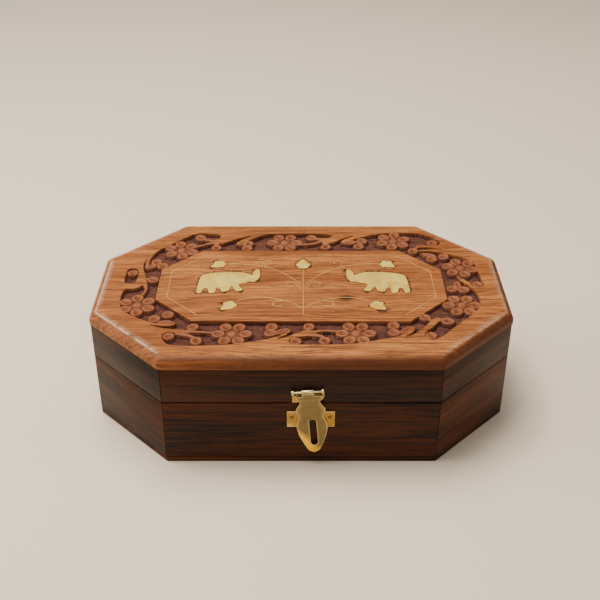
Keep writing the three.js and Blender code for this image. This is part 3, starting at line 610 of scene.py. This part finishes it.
def relief_surface(x, y, d):
    """Heights over the border, the figures' tone, painted shade in their hollows and on their edges, and the
    ground's dark stain with painted shade at the foot of its walls.
    """
    work = carve_border(x, y)
    plain = np.minimum(frame_distance(x, y), octagon_distance(panel_size, x, y))
    on_edge = 0.03
    raised = d < on_edge
    on_plain = plain < on_edge
    wall = unit(d / 0.4)
    roll = 0.12 * np.sin(x * 0.9 + 1.3 * np.sin(y * 0.7)) + 0.08 * np.sin(y * 1.7 + x * 0.4)
    ground = -carving_depth * (0.86 + 0.14 * wall) + roll - 0.5 * punched(x, y) * wall
    figure = np.clip(work.height, -carving_depth, 0)
    height = np.where(raised, np.where(on_plain, 0.0, figure), ground)
    height = np.where(raised & on_plain & (work.distance < 0), np.maximum(figure, -0.02), height)
    figured = np.where(raised & ~on_plain, 1.0, 0.0)
    cut = np.where(raised, np.where(on_plain, 0.0, work.cut), 0.0)
    # The sunk ground is stained dark; the extra darkness near the walls of figures, frame and panel, fading
    # out 1.4 mm from them, is painted shade.
    dark = np.where(raised, 0.0, 0.75 + 0.25 * unit(1.4 - d))
    return height, figured, cut, dark


def loops_of(node, top):
    """The outlines of a flat piece's top face, from the frame."""
    form = bmesh.new()
    form.from_mesh(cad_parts[node].data)
    bmesh.ops.remove_doubles(form, verts=form.verts, dist=1e-6)
    lid = {f for f in form.faces if all(abs(v.co.z / mm - top) < 0.02 for v in f.verts)}
    rim = [e for e in form.edges if sum(f in lid for f in e.link_faces) == 1]
    follow = {}
    for e in rim:
        for a, b in ((e.verts[0], e.verts[1]), (e.verts[1], e.verts[0])):
            follow.setdefault(a, []).append(b)
    loops = []
    left = set(follow)
    while left:
        first = min(left, key=lambda v: (v.co.x, v.co.y))
        loop, last, at = [first], None, first
        while True:
            onward = [v for v in follow[at] if v is not last and (v in left or v is first)]
            left.discard(at)
            if not onward or onward[0] is first:
                break
            last, at = at, onward[0]
            loop.append(at)
        points = np.array([(v.co.x / mm, v.co.y / mm) for v in loop])
        loops.append(points if turning(points) > 0 else points[::-1])
    form.free()
    return sorted(loops, key=lambda p: -abs(turning(p)))


def turning(points):
    x, y = points[:, 0], points[:, 1]
    return float(np.sum(x * np.roll(y, -1) - np.roll(x, -1) * y) / 2)


def grow(points, distance):
    """An anticlockwise outline moved outwards."""
    arriving = points - np.roll(points, 1, 0)
    leaving = np.roll(points, -1, 0) - points
    arriving /= np.hypot(*arriving.T)[:, None]
    leaving /= np.hypot(*leaving.T)[:, None]
    normal = np.stack([arriving[:, 1] + leaving[:, 1], -arriving[:, 0] - leaving[:, 0]], 1)
    normal /= np.maximum(np.hypot(*normal.T), 1e-6)[:, None]
    facing = normal[:, 0] * arriving[:, 1] - normal[:, 1] * arriving[:, 0]
    stretch = np.clip(1 / np.maximum(facing, 0.1), 1, 2)
    return points + normal * (distance * stretch)[:, None]


def softened_ring(size, distance, corner=1.6, steps=3):
    """An octagon inset by a distance, with each corner worn to a short arc."""
    corners = np.array(octagon(**inset(size, distance)))
    ring = []
    for i in range(8):
        here, before, after = corners[i], corners[i - 1], corners[(i + 1) % 8]
        a = here + (before - here) / np.hypot(*(before - here)) * corner
        b = here + (after - here) / np.hypot(*(after - here)) * corner
        for k in range(steps + 1):
            t = k / steps
            ring.append(a * (1 - t) ** 2 + 2 * here * t * (1 - t) + b * t ** 2)
    return np.array(ring)


inlay_kinds = [
    "elephant", "leaf_upper", "leaf_lower", "upper_branch", "middle_curl", "lower_branch", "border_wire",
]
inlay_names = ["bud", "stem_wire"] + [kind + "_" + hand for hand in ("left", "right") for kind in inlay_kinds]
inlay_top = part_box("bud")[1].z / mm
inlay_depth = 0.8
inlay_loops = {name: loops_of(name, inlay_top) for name in inlay_names}

# The leaves were sawn freehand, so the upper pair and the lower pair each have their own outline
stem_x = 1.0
upper_leaf = [
    (-46.4, 16.3), (-45.9, 18.2), (-45.0, 20.0), (-44.5, 22.9), (-42.0, 22.4), (-41.1, 23.3), (-39.6, 22.4),
    (-39.2, 20.5), (-38.1, 19.7), (-39.3, 18.5), (-39.6, 16.6), (-43.0, 16.9),
]
lower_leaf = [
    (-38.8, -23.8), (-38.4, -20.9), (-37.5, -19.5), (-37.9, -17.0), (-36.3, -17.3), (-35.2, -15.9),
    (-33.0, -15.9), (-32.4, -17.7), (-30.8, -19.1), (-31.3, -20.9), (-32.7, -21.8), (-33.4, -22.8),
]
for leaf_name, outline in (("leaf_upper_", upper_leaf), ("leaf_lower_", lower_leaf)):
    mirrored = [(2 * stem_x - a, b) for a, b in outline]
    for hand, points in (("left", np.array(outline)), ("right", np.array(mirrored))):
        inlay_loops[leaf_name + hand] = [points if turning(points) > 0 else points[::-1]]


def is_wire(name):
    return "wire" in name or "branch" in name or "curl" in name


plain_grid = 2.9
clear = 1.6
brass_clear = 0.7


def plain_points():
    """An even grid over the frame and the panel, clear of the carving and of the brass."""
    xs = np.arange(-board_size["half_length"], board_size["half_length"], plain_grid)
    ys = np.arange(-board_size["half_width"], board_size["half_width"], plain_grid)
    x, y = (a.ravel() for a in np.meshgrid(xs, ys))
    on_frame = (octagon_distance(board_size, x, y) < -nosing_run - clear) & (frame_distance(x, y) < -clear)
    on_frame &= octagon_distance(panel_size, x, y) > clear
    on_panel = octagon_distance(panel_size, x, y) < -clear
    for name in inlay_names:
        on_panel &= loop_distance(grow(inlay_loops[name][0], brass_clear), x, y) > 0
    kept = on_frame | on_panel
    return np.stack([x[kept], y[kept]], 1)


arris_worn = 0.25
quiet_run = 0.9
stain_out = 0.42
stain_in = 0.14
stain_shade = 0.55
pocket_out = 0.1


def build_lid_board():
    """The top face: where its points lie, its faces, and the points' heights and tones."""
    x, y, d = relief_points()
    parts = [(x, y, *relief_surface(x, y, d))]
    outlines = []

    def add(points, level=0.0, shade=0.0, outlined=False):
        """Points on one level, darkened by the shade. An outline of them can be kept as edges."""
        if outlined:
            outlines.append((sum(len(part[0]) for part in parts), len(points)))
        even = np.zeros(len(points))
        parts.append((points[:, 0], points[:, 1], even + level, even, even, even + shade))

    add(softened_ring(board_size, nosing_run + arris_worn), outlined=True)
    add(softened_ring(board_size, nosing_run + quiet_run))
    add(plain_points())
    for name in inlay_names:
        if not is_wire(name):
            outer = inlay_loops[name][0]
            add(grow(outer, stain_out))
            add(grow(outer, stain_in), shade=stain_shade)
            add(grow(outer, pocket_out), level=-inlay_depth, shade=1.0, outlined=True)
    columns = [np.concatenate([part[k] for part in parts]) for k in range(6)]
    edges = []
    for start, count in outlines:
        edges += [(start + k, start + (k + 1) % count) for k in range(count)]
    flat_points = [Vector((a, b)) for a, b in zip(columns[0], columns[1])]
    verts, _, faces, origins, _, _ = delaunay_2d_cdt(flat_points, edges, [], 1, 1e-5, True)
    first = np.array([o[0] if o else -1 for o in origins])
    place = np.array([(v.x, v.y) for v in verts])
    values = [np.where(first >= 0, column[first], 0.0) for column in columns[2:]]
    return place, faces, values


place, faces, (heights, figured, cut, dark) = build_lid_board()

# The nosing, as steps in from the board's edge and down from its top
arris_drop = 0.16
lower_arris = 0.35
first_angle = 0.45
levels = [(nosing_run + 0.08, -0.05), (nosing_run, -arris_drop)]
for k in range(1, 7):
    angle = first_angle + (math.pi / 2 - first_angle) * k / 6
    run = nosing_run * (1 - math.sin(angle)) / (1 - math.sin(first_angle))
    fall = (nosing_drop - arris_drop) * (math.cos(first_angle) - math.cos(angle)) / math.cos(first_angle)
    levels.append((run, -(arris_drop + fall)))
levels += [(0.0, underside - board_top + lower_arris), (lower_arris, underside - board_top)]

lid_form = bmesh.new()
top_verts = [lid_form.verts.new((a, b, board_top + h)) for (a, b), h in zip(place, heights)]
for face in faces:
    lid_form.faces.new([top_verts[i] for i in face])
nearest = {(round(a, 3), round(b, 3)): index for index, (a, b) in enumerate(place)}
arris_ring = softened_ring(board_size, nosing_run + arris_worn)
ring = [top_verts[nearest[(round(a, 3), round(b, 3))]] for a, b in arris_ring]
extra = []
for distance, drop in levels:
    lower = []
    for a, b in softened_ring(board_size, distance):
        lower.append(lid_form.verts.new((a, b, board_top + drop)))
        extra.append((distance, drop))
    for i in range(len(ring)):
        j = (i + 1) % len(ring)
        lid_form.faces.new([ring[i], lower[i], lower[j], ring[j]])
    ring = lower
lid_form.faces.new(ring[::-1])
lid_form.normal_update()
lid_mesh = bpy.data.meshes.new("carved_lid")
lid_form.to_mesh(lid_mesh)
lid_form.free()
lid_mesh.transform(Matrix.Diagonal((mm, mm, mm, 1)))
extra = np.array(extra)
from_edge = np.concatenate([-octagon_distance(board_size, place[:, 0], place[:, 1]), extra[:, 0]])
worn = unit(1 - np.abs(from_edge - nosing_run) / 0.36)
on_side = np.concatenate([np.zeros(len(place)), unit(-extra[:, 1] / 0.9)])
for key, values in (("figured", figured), ("cut", cut), ("dark", dark)):
    store(lid_mesh, key, "FLOAT", np.concatenate([values, np.zeros(len(extra))]))
store(lid_mesh, "worn", "FLOAT", worn)
store(lid_mesh, "nosing", "FLOAT", on_side)
soften(lid_mesh, 38)
carved_lid = linked("carved_lid", lid_mesh)

knot_place = (21.8, -13.0)


# Tan wood with darker figure, a small knot, a stained and punched ground, and a polished worn arris.
# Painted shade darkens the carving's hollows and edges, the foot of the ground's walls and the nosing;
# a painted highlight lightens the worn arris at the board's ends, most at the left end.
def light_wood():
    wood = Finish("tan rosewood", Roughness=0.45, Coat_Weight=0.02)
    wood.feed(Coat_Roughness=0.35, Specular_IOR_Level=0.2)
    place = wood.place()
    x, y, z = (axis * (1 / mm) for axis in wood.parts(place))

    def near_knot(half_length, half_width):
        ahead = (x - knot_place[0]) / half_length
        aside = (y - knot_place[1]) / half_width
        return ((ahead * ahead + aside * aside) * -1).maths("EXPONENT")

    bent = y + (y - knot_place[1]) * near_knot(9.0, 4.2) * -0.85
    drift = wood.streaks((x, bent, z), (0.012, 0.035, 0.02), 2.0)
    board = (x, bent + (drift - 0.5) * 14 + z * 0.35, z)
    broad = wood.streaks(board, (0.008, 0.10, 0.05), 3.0, 0.5, 0.4)
    fine = wood.streaks(board, (0.03, 0.8, 0.5), 4.0, 0.62)
    hair = wood.streaks(board, (0.16, 3.0, 3.0), 3.0, 0.6)
    base = wood.mix(broad.ramp(0.34, 0.66), (0.33, 0.098, 0.021), (0.57, 0.212, 0.056))
    lined = wood.mix(fine.ramp(0.55, 0.38) * 0.8, base, (0.15, 0.040, 0.010))
    haired = wood.mix(hair.ramp(0.52, 0.64) * 0.8, lined, (0.09, 0.024, 0.007))
    knot = (near_knot(3.6, 2.2) * 1.6).ramp(0.1, 0.9)
    knotted = wood.mix(knot * 0.9, haired, (0.045, 0.015, 0.007))
    # Nearness to the lit left end: the nosing's painted shade fades there and the arris's painted highlight
    # grows.
    left = (x * -0.02).ramp(-0.2, 1.6)
    # Painted shade: the nosing's sloping side is darkened, least at the lit left end.
    nosing_painted_shade = wood.mix(wood.value("nosing") * (1 - left * 0.9) * 0.85, knotted, (0.075, 0.017, 0.004))
    pink = wood.mix(wood.value("figured") * 0.65, nosing_painted_shade, (0.34, 0.105, 0.044))
    # Painted shade in the carving's hollows, grooves and sloping edges.
    carving_painted_shade = wood.mix(wood.value("cut") * 0.85, pink, (0.055, 0.014, 0.006))
    stain = wood.noise(wood.point(x, y, z), 0.9, 3.0, 0.6)
    ground = wood.mix(stain.ramp(0.35, 0.7), (0.013, 0.005, 0.007), (0.085, 0.028, 0.036))
    # The dark value: stained ground, plus painted shade at the foot of its walls.
    sunk = wood.mix(wood.value("dark"), carving_painted_shade, ground)
    ends = x.maths("ABSOLUTE").ramp(63.0, 68.0)
    # Pale arris at the board's ends: partly real wear, partly painted highlight that is stronger towards the
    # lit left end.
    arris_wear_and_painted_highlight = wood.value("worn") * ends * (0.6 + left * 0.4) * wood.noise(place, 260.0, 3.0).ramp(0.3, 0.5)
    colour = wood.mix(arris_wear_and_painted_highlight, sunk, (0.72, 0.50, 0.36))
    rough = 0.46 + hair * 0.12 + wood.value("dark") * 0.25 - arris_wear_and_painted_highlight * 0.12
    relief = fine * 0.3 - hair.ramp(0.55, 0.7) * 0.6
    wood.feed(Base_Color=colour, Roughness=rough, Normal=wood.bump(relief, 0.08, 0.5))
    return wood.material


carved_lid.data.materials.append(light_wood())
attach(carved_lid, "lid")
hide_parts("lid_top")

# The brass inlay
# Elephants, leaves and a bud sawn from sheet brass and let into pockets of the panel, and a vine
# of brass wire hammered into it. All are filed level, pale and satin, and smeared by the polishing.

sheet_back = 0.05
sheet_face = 0.85
sheet_edge = 0.15
ear_edge = 0.1
rod_edge = 0.12
wire_edge = 0.06
wire_slack = 0.07


def inlay_brass(name, dull, bright):
    brass = Finish(name, Metallic=0.42)
    place = brass.place()
    cloud = brass.noise(place, 120.0, 3.0, 0.6, 0.6)
    rub = brass.noise(place, 900.0, 2.0)
    colour = brass.mix(cloud.ramp(0.35, 0.65), dull, bright)
    rough = 0.30 + cloud * 0.16 + rub * 0.08
    brass.feed(Base_Color=colour, Roughness=rough, Normal=brass.bump(rub + cloud, 0.03, 0.5))
    return brass.material


def plain_mesh(holder):
    """The mesh that an object's curve or its modifiers come to."""
    bpy.context.view_layer.update()
    evaluated = holder.evaluated_get(bpy.context.evaluated_depsgraph_get())
    return bpy.data.meshes.new_from_object(evaluated)


def sheet_piece(name, loops, near, far, edge, place):
    """Flat sheet metal with its outlines' edges eased, stood between two heights and then placed."""
    curve = bpy.data.curves.new(name, "CURVE")
    curve.dimensions = "2D"
    curve.fill_mode = "BOTH"
    curve.extrude = (far - near) / 2 - edge
    curve.bevel_depth = edge
    curve.bevel_resolution = 1
    curve.offset = -edge
    for loop in loops:
        spline = curve.splines.new("POLY")
        spline.points.add(len(loop) - 1)
        spline.points.foreach_set("co", [c for a, b in loop for c in (a, b, 0, 1)])
        spline.use_cyclic_u = True
    holder = linked(name, curve)
    mesh = plain_mesh(holder)
    bpy.data.objects.remove(holder)
    bpy.data.curves.remove(curve)
    lifted = Matrix.Translation((0, 0, (near + far) / 2))
    mesh.transform(Matrix.Diagonal((mm, mm, mm, 1)) @ place @ lifted)
    form = bmesh.new()
    form.from_mesh(mesh)
    bmesh.ops.remove_doubles(form, verts=form.verts, dist=1e-7)
    bmesh.ops.recalc_face_normals(form, faces=form.faces)
    form.to_mesh(mesh)
    form.free()
    soften(mesh, 30)
    return linked(name, mesh)


sheet_finish = inlay_brass("inlay sheet brass", (0.88, 0.54, 0.08), (1.0, 0.77, 0.17))
wire_finish = inlay_brass("inlay wire brass", (0.60, 0.30, 0.07), (0.82, 0.50, 0.14))
stay = Matrix.Identity(4)
inlay_back = inlay_top - inlay_depth + sheet_back
for name in inlay_names:
    slim = is_wire(name)
    filed = 0.08 if name == "bud" else 0.16
    loops = [grow(loop, -wire_slack) if slim else rounded(loop, 2, filed) for loop in inlay_loops[name]]
    inlay = sheet_piece(name + "_brass", loops, inlay_back, inlay_top, wire_edge if slim else ear_edge, stay)
    soften(inlay.data, 12)
    inlay.data.materials.append(wire_finish if slim else sheet_finish)
    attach(inlay, "lid")
    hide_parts(name)

# The hasp and its staple plate
# Stamped from sheet brass. The flap hangs from a pin between the ears of the plate on the lid, and
# its slot lies over the plate on the base. The faces are dull, and the edges carry a painted highlight.

hasp_x = 2.9
hasp_height = 42.4
hasp_lean = math.radians(4.5)
front_face = -(board_width / 2 - board_overhang)
pin_out = 1.45
hung = Matrix.Translation((hasp_x, front_face, hasp_height)) @ Matrix.Rotation(-hasp_lean, 4, "Y")
to_hasp = hung @ Matrix.Rotation(math.pi / 2, 4, "X")


def plate_brass(name, dull, bright):
    """Brass whose face is scratched and dull, and whose eased edges, like every surface turned away from the
    front, carry a bright painted highlight.
    """
    brass = Finish(name, Metallic=1.0)
    x, y, z = (axis * (1 / mm) for axis in brass.parts(brass.place()))
    swirl = brass.noise(brass.point(x, y, z), 0.35, 2.0)
    strokes = brass.noise(brass.point(x * 1.3 + swirl * 9, y, z * 3.2 - swirl * 7), 1.6, 4.0, 0.7, 0.8)
    patch = brass.streaks((x, y, z), (0.12, 0.1, 0.1), 2.0)
    turned = brass.parts(brass.node("ShaderNodeNewGeometry", out="Normal"))[1]
    face = (turned * -1).ramp(0.90, 0.99)
    low_left = (z * -0.16 + (x - 3.0) * -0.14 + patch * 2.0 + 1.9).ramp(0.0, 1.0)
    worn = face * (1 - low_left)
    tone = brass.mix(worn, bright, dull)
    scored = brass.mix(strokes.ramp(0.48, 0.58) * worn * 0.8, tone, (0.13, 0.085, 0.03))
    # Painted highlight: a bright cream on every edge and surface that does not face the front.
    edge = brass.mix(1 - face, scored, (1.0, 0.84, 0.42))
    rough = 0.26 + worn * 0.26 + strokes * 0.08
    brass.feed(Base_Color=edge, Roughness=rough, Normal=brass.bump(strokes, 0.05, 0.5))
    return brass.material


flap_finish = plate_brass("flap brass", (0.26, 0.195, 0.080), (1.0, 0.60, 0.02))
plate_finish = plate_brass("plate brass", (0.55, 0.32, 0.06), (0.86, 0.54, 0.11))


def finish_brass(piece, material, body, *nodes):
    piece.data.materials.append(material)
    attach(piece, body)
    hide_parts(*nodes)


# One side of the flap's outline: half its width, and how far below the pin
flap_edge = [
    (5.9, 2.2), (6.1, 4.0), (4.65, 5.7), (6.8, 10.0), (5.75, 14.3), (7.14, 18.6), (6.5, 24),
    (5.26, 27.8), (3.65, 31.7), (2.4, 34), (0.0, 35.3),
]
flap_offset = 0.55
slot_x = 0.98
roll_half = 2.7
neck = np.array([(roll_half, -0.9), (roll_half, -2.1)])
half_edge = np.array(smooth_line(flap_edge, 72)) * (1, -1)
left_edge = half_edge[-2::-1] * (-1, 1) + (flap_offset, 0)
flap_outline = np.concatenate([neck, half_edge + (flap_offset, 0), left_edge, neck[::-1] * (-1, 1)])


def arc(x, y, radius, angles):
    return [(x + radius * math.cos(angle), y + radius * math.sin(angle)) for angle in angles]


def stadium(x, top, bottom, width, steps=10):
    radius = width / 2
    turns = [i * math.pi / steps for i in range(steps + 1)]
    upper = arc(x, -top - radius, radius, turns)
    return upper + arc(x, radius - bottom, radius, [math.pi + turn for turn in turns])


def ring_of(radius, steps=28):
    return arc(0, 0, radius, [i * 2 * math.pi / steps for i in range(steps)])


def along_x(y):
    """Stands a flat ring across X, about an axis that lies at y."""
    return Matrix.Translation((0, y, 0)) @ Matrix.Rotation(math.pi / 2, 4, "Y")


def oblong(left, right, first, last):
    return [(left, first), (right, first), (right, last), (left, last)]


def joined(name, pieces):
    form = bmesh.new()
    for piece in pieces:
        form.from_mesh(piece.data)
        bpy.data.objects.remove(piece)
    mesh = bpy.data.meshes.new(name)
    form.to_mesh(mesh)
    form.free()
    soften(mesh, 30)
    return linked(name, mesh)


flap_back = 1.15
flap_face = 1.95
slot = stadium(slot_x, 15.5, 30.8, 3.25)
roll_rings = [ring_of(1.3), ring_of(0.72)]
on_pin = hung @ along_x(-pin_out)
flap_parts = [
    sheet_piece("flap_sheet", [flap_outline, slot], flap_back, flap_face, 0.3, to_hasp),
    sheet_piece("flap_roll", roll_rings, -roll_half, roll_half, rod_edge, on_pin),
]
finish_brass(joined("hasp_flap_brass", flap_parts), flap_finish, "hasp", "hasp_flap")

half_plate = 7.4
ear_width = 1
plate_outline = [
    (half_plate, -2.2), (-half_plate, -2.2), (-half_plate, -5.9), (5.0, -5.9), (half_plate, -3.5),
]
web = rounded(np.array(plate_outline), 1, 0.04)
parts = [sheet_piece("hasp_web", [web], sheet_back, sheet_face, sheet_edge, to_hasp)]
for ends in ((-half_plate, ear_width - half_plate), (half_plate - ear_width, half_plate)):
    ear = oblong(*ends, -2.8, -0.4)
    parts.append(sheet_piece("hasp_ear", [ear], sheet_back, sheet_face, ear_edge, to_hasp))
    parts.append(sheet_piece("hasp_eye", [ring_of(1.3), ring_of(0.7)], *ends, ear_edge, on_pin))
finish_brass(joined("hasp_plate_brass", parts), plate_finish, "lid", "hasp_plate")
pin = sheet_piece("hasp_pin_brass", [ring_of(0.6, 20)], -half_plate, half_plate, rod_edge, on_pin)
finish_brass(pin, plate_finish, "lid", "hasp_pin")

staple = eased("staple_plate", "staple_plate_brass", 0.16)
finish_brass(staple, plate_finish, "base", "staple_plate")

# The hinges
# Two small butt hinges on the outside of the back walls, in the same brass: a leaf on the base and
# a leaf on the lid, whose rolled knuckles share a pin just behind the seam.

back_face = board_width / 2 - board_overhang
hinge_height = 35.25
hinge_out = 1.85
hinge_half = 13.5
third = 9.0
knuckle = 1.8
play = 0.15
knuckle_spans = {
    "base": [(-hinge_half, -third / 2), (third / 2, hinge_half)],
    "lid": [(-third / 2 + play, third / 2 - play)],
}
for hinge in ("left", "right"):
    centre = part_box("hinge_" + hinge + "_pin")
    middle = (centre[0].x + centre[1].x) / 2 / mm
    at = Matrix.Translation((middle, back_face, hinge_height))
    leaf_place = at @ Matrix.Rotation(-math.pi / 2, 4, "X")
    roll = at @ along_x(hinge_out)
    for body, sign in (("base", 1), ("lid", -1)):
        outline = rounded(np.array(oblong(-hinge_half, hinge_half, sign * 2.0, sign * 10.0)), 1, 0.05)
        parts = [sheet_piece("leaf", [outline], sheet_back, sheet_face, sheet_edge, leaf_place)]
        for span in knuckle_spans[body]:
            neck = oblong(*span, sign * 0.9, sign * 2.5)
            parts.append(sheet_piece("neck", [neck], sheet_back, sheet_face, ear_edge, leaf_place))
            parts.append(sheet_piece("roll", [ring_of(knuckle), ring_of(0.9)], *span, rod_edge, roll))
        leaf = joined("hinge_" + hinge + "_" + body + "_brass", parts)
        finish_brass(leaf, plate_finish, body, "hinge_" + hinge + "_" + body + "_leaf")
    pin_node = "hinge_" + hinge + "_pin"
    pin = sheet_piece(pin_node + "_brass", [ring_of(0.8, 20)], -hinge_half, hinge_half, rod_edge, roll)
    finish_brass(pin, plate_finish, "base", pin_node)

# The nails
# Round-headed brass nails hold the staple plate and the hinge leaves. Each has a low domed head
# hammered down onto its plate, and a shank driven square into the wall.


head_height = 0.35
nail_sockets = {name: "Float" for name in ("Head radius", "Head height", "Shank radius", "Shank length")}
nail_sockets.update({"Outward": "Vector", "Finish": "Material"})


def nail_tree():
    """Sets one nail on each point of a mesh, its head pointing outward from the wall."""
    tree = bpy.data.node_groups.new("nails on points", "GeometryNodeTree")
    face = tree.interface
    face.new_socket("Geometry", in_out="INPUT", socket_type="NodeSocketGeometry")
    named = {}
    for name, kind in nail_sockets.items():
        named[name] = face.new_socket(name, in_out="INPUT", socket_type="NodeSocket" + kind).identifier
    face.new_socket("Geometry", in_out="OUTPUT", socket_type="NodeSocketGeometry")
    given = tree.nodes.new("NodeGroupInput").outputs

    def add(kind, sockets, **settings):
        """A node with its sockets linked or set; gives its first output."""
        node = tree.nodes.new(kind)
        for key, value in settings.items():
            setattr(node, key, value)
        for key, value in sockets.items():
            if isinstance(value, bpy.types.NodeSocket):
                tree.links.new(value, node.inputs[key])
            else:
                node.inputs[key].default_value = value
        return node.outputs[0]

    head = add("GeometryNodeMeshUVSphere", {"Segments": 20, "Rings": 10, "Radius": given["Head radius"]})
    ratio = add("ShaderNodeMath", {0: given["Head height"], 1: given["Head radius"]}, operation="DIVIDE")
    squash = add("ShaderNodeCombineXYZ", {0: 1, 1: 1, 2: ratio})
    flat = add("GeometryNodeTransform", {"Geometry": head, "Scale": squash})
    shank = {"Vertices": 12, "Radius": given["Shank radius"], "Depth": given["Shank length"]}
    rod = add("GeometryNodeMeshCylinder", shank)
    half = add("ShaderNodeMath", {0: given["Shank length"], 1: -0.5}, operation="MULTIPLY")
    down = add("ShaderNodeCombineXYZ", {2: half})
    sunk = add("GeometryNodeTransform", {"Geometry": rod, "Translation": down})
    whole = add("GeometryNodeJoinGeometry", {0: flat})
    tree.links.new(sunk, whole.node.inputs[0])
    turn = add("FunctionNodeAlignRotationToVector", {"Vector": given["Outward"]}, axis="Z")
    spots = {"Points": given["Geometry"], "Instance": whole, "Rotation": turn}
    real = add("GeometryNodeRealizeInstances", {0: add("GeometryNodeInstanceOnPoints", spots)})
    dressed = add("GeometryNodeSetMaterial", {"Geometry": real, "Material": given["Finish"]})
    tree.links.new(dressed, tree.nodes.new("NodeGroupOutput").inputs[0])
    return tree, named


nails, nail_inputs = nail_tree()
nail_finish = Finish("nail brass", Metallic=0.8, Base_Color=(0.20, 0.12, 0.035, 1), Roughness=0.5)
nail_values = {
    "Head radius": 1.0 * mm,
    "Head height": head_height * mm,
    "Shank radius": 0.5 * mm,
    "Shank length": 4.5 * mm,
    "Finish": nail_finish.material,
}


def nail_centre(node, outward):
    lowest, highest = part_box(node)
    middle = (lowest + highest) / 2
    face = highest.y if outward > 0 else lowest.y
    return Vector((middle.x, face - outward * head_height * mm, middle.z))


def drive_nails(name, body, outward, nodes):
    """One mesh of nails, a nail at each node's place, with their heads out of the wall."""
    seats = bpy.data.meshes.new(name + "_seats")
    seats.from_pydata([nail_centre(node, outward) for node in nodes], [], [])
    holder = linked(name, seats)
    modifier = holder.modifiers.new("nails", "NODES")
    modifier.node_group = nails
    for key, value in nail_values.items():
        modifier[nail_inputs[key]] = value
    modifier[nail_inputs["Outward"]] = (0.0, float(outward), 0.0)
    mesh = plain_mesh(holder)
    holder.modifiers.clear()
    holder.data = mesh
    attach(holder, body)
    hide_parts(*nodes)


drive_nails("staple_nails", "base", -1, ["staple_nail_left", "staple_nail_right"])
for body in ("base", "lid"):
    nodes = ["hinge_%s_%s_nail_%s" % (a, body, b) for a in ("left", "right") for b in ("left", "right")]
    drive_nails("hinge_" + body + "_nails", body, 1, nodes)

# The table, the light and the camera
# A plain pale table, a broad soft lamp above and behind the box and weaker ones at its sides.

table_finish = Finish("plain table", Base_Color=(1.0, 0.84, 0.66, 1), Roughness=0.7)
table_mesh = bpy.data.meshes.new("table")
reach = 4.0
table_corners = [(x, y, 0) for x, y in oblong(-reach, reach, -reach, reach)]
table_mesh.from_pydata(table_corners, [], [(0, 1, 2, 3)])
table = linked("table", table_mesh)
table.data.materials.append(table_finish.material)


box_middle = Vector((0, 0, 0.03))


def lamp(name, place, width, height, power, colour):
    light = bpy.data.lights.new(name, "AREA")
    light.shape = "RECTANGLE"
    light.size = width
    light.size_y = height
    light.energy = power
    light.color = colour
    holder = linked(name, light)
    holder.location = place
    holder.rotation_euler = (box_middle - Vector(place)).to_track_quat("-Z", "Y").to_euler()


lamp("top lamp", (-0.2, 0.12, 1.0), 0.7, 0.5, 13.5, (1.0, 0.94, 0.86))
lamp("left lamp", (-0.9, 0.05, 0.45), 0.5, 0.5, 4.4, (1.0, 0.96, 0.92))
lamp("right lamp", (0.9, -0.1, 0.5), 0.4, 0.4, 0.9, (1.0, 0.92, 0.82))
lamp("front lamp", (0.1, -0.9, 0.55), 0.5, 0.3, 0.9, (1.0, 0.93, 0.86))
world = bpy.data.worlds.new("room")
world.use_nodes = True
backdrop = world.node_tree.nodes["Background"].inputs
backdrop["Color"].default_value = (0.9, 0.88, 0.85, 1)
backdrop["Strength"].default_value = 0.25
bpy.context.scene.world = world

camera_data = bpy.data.cameras.new("camera")
camera_data.lens = 58.82
camera_data.sensor_width = 36
camera = linked("camera", camera_data)
camera.location = (-0.6 * mm, -417.2 * mm, 314.4 * mm)
camera.rotation_euler = (math.radians(57.666), 0, 0)
bpy.context.scene.camera = camera

bpy.context.view_layer.update()
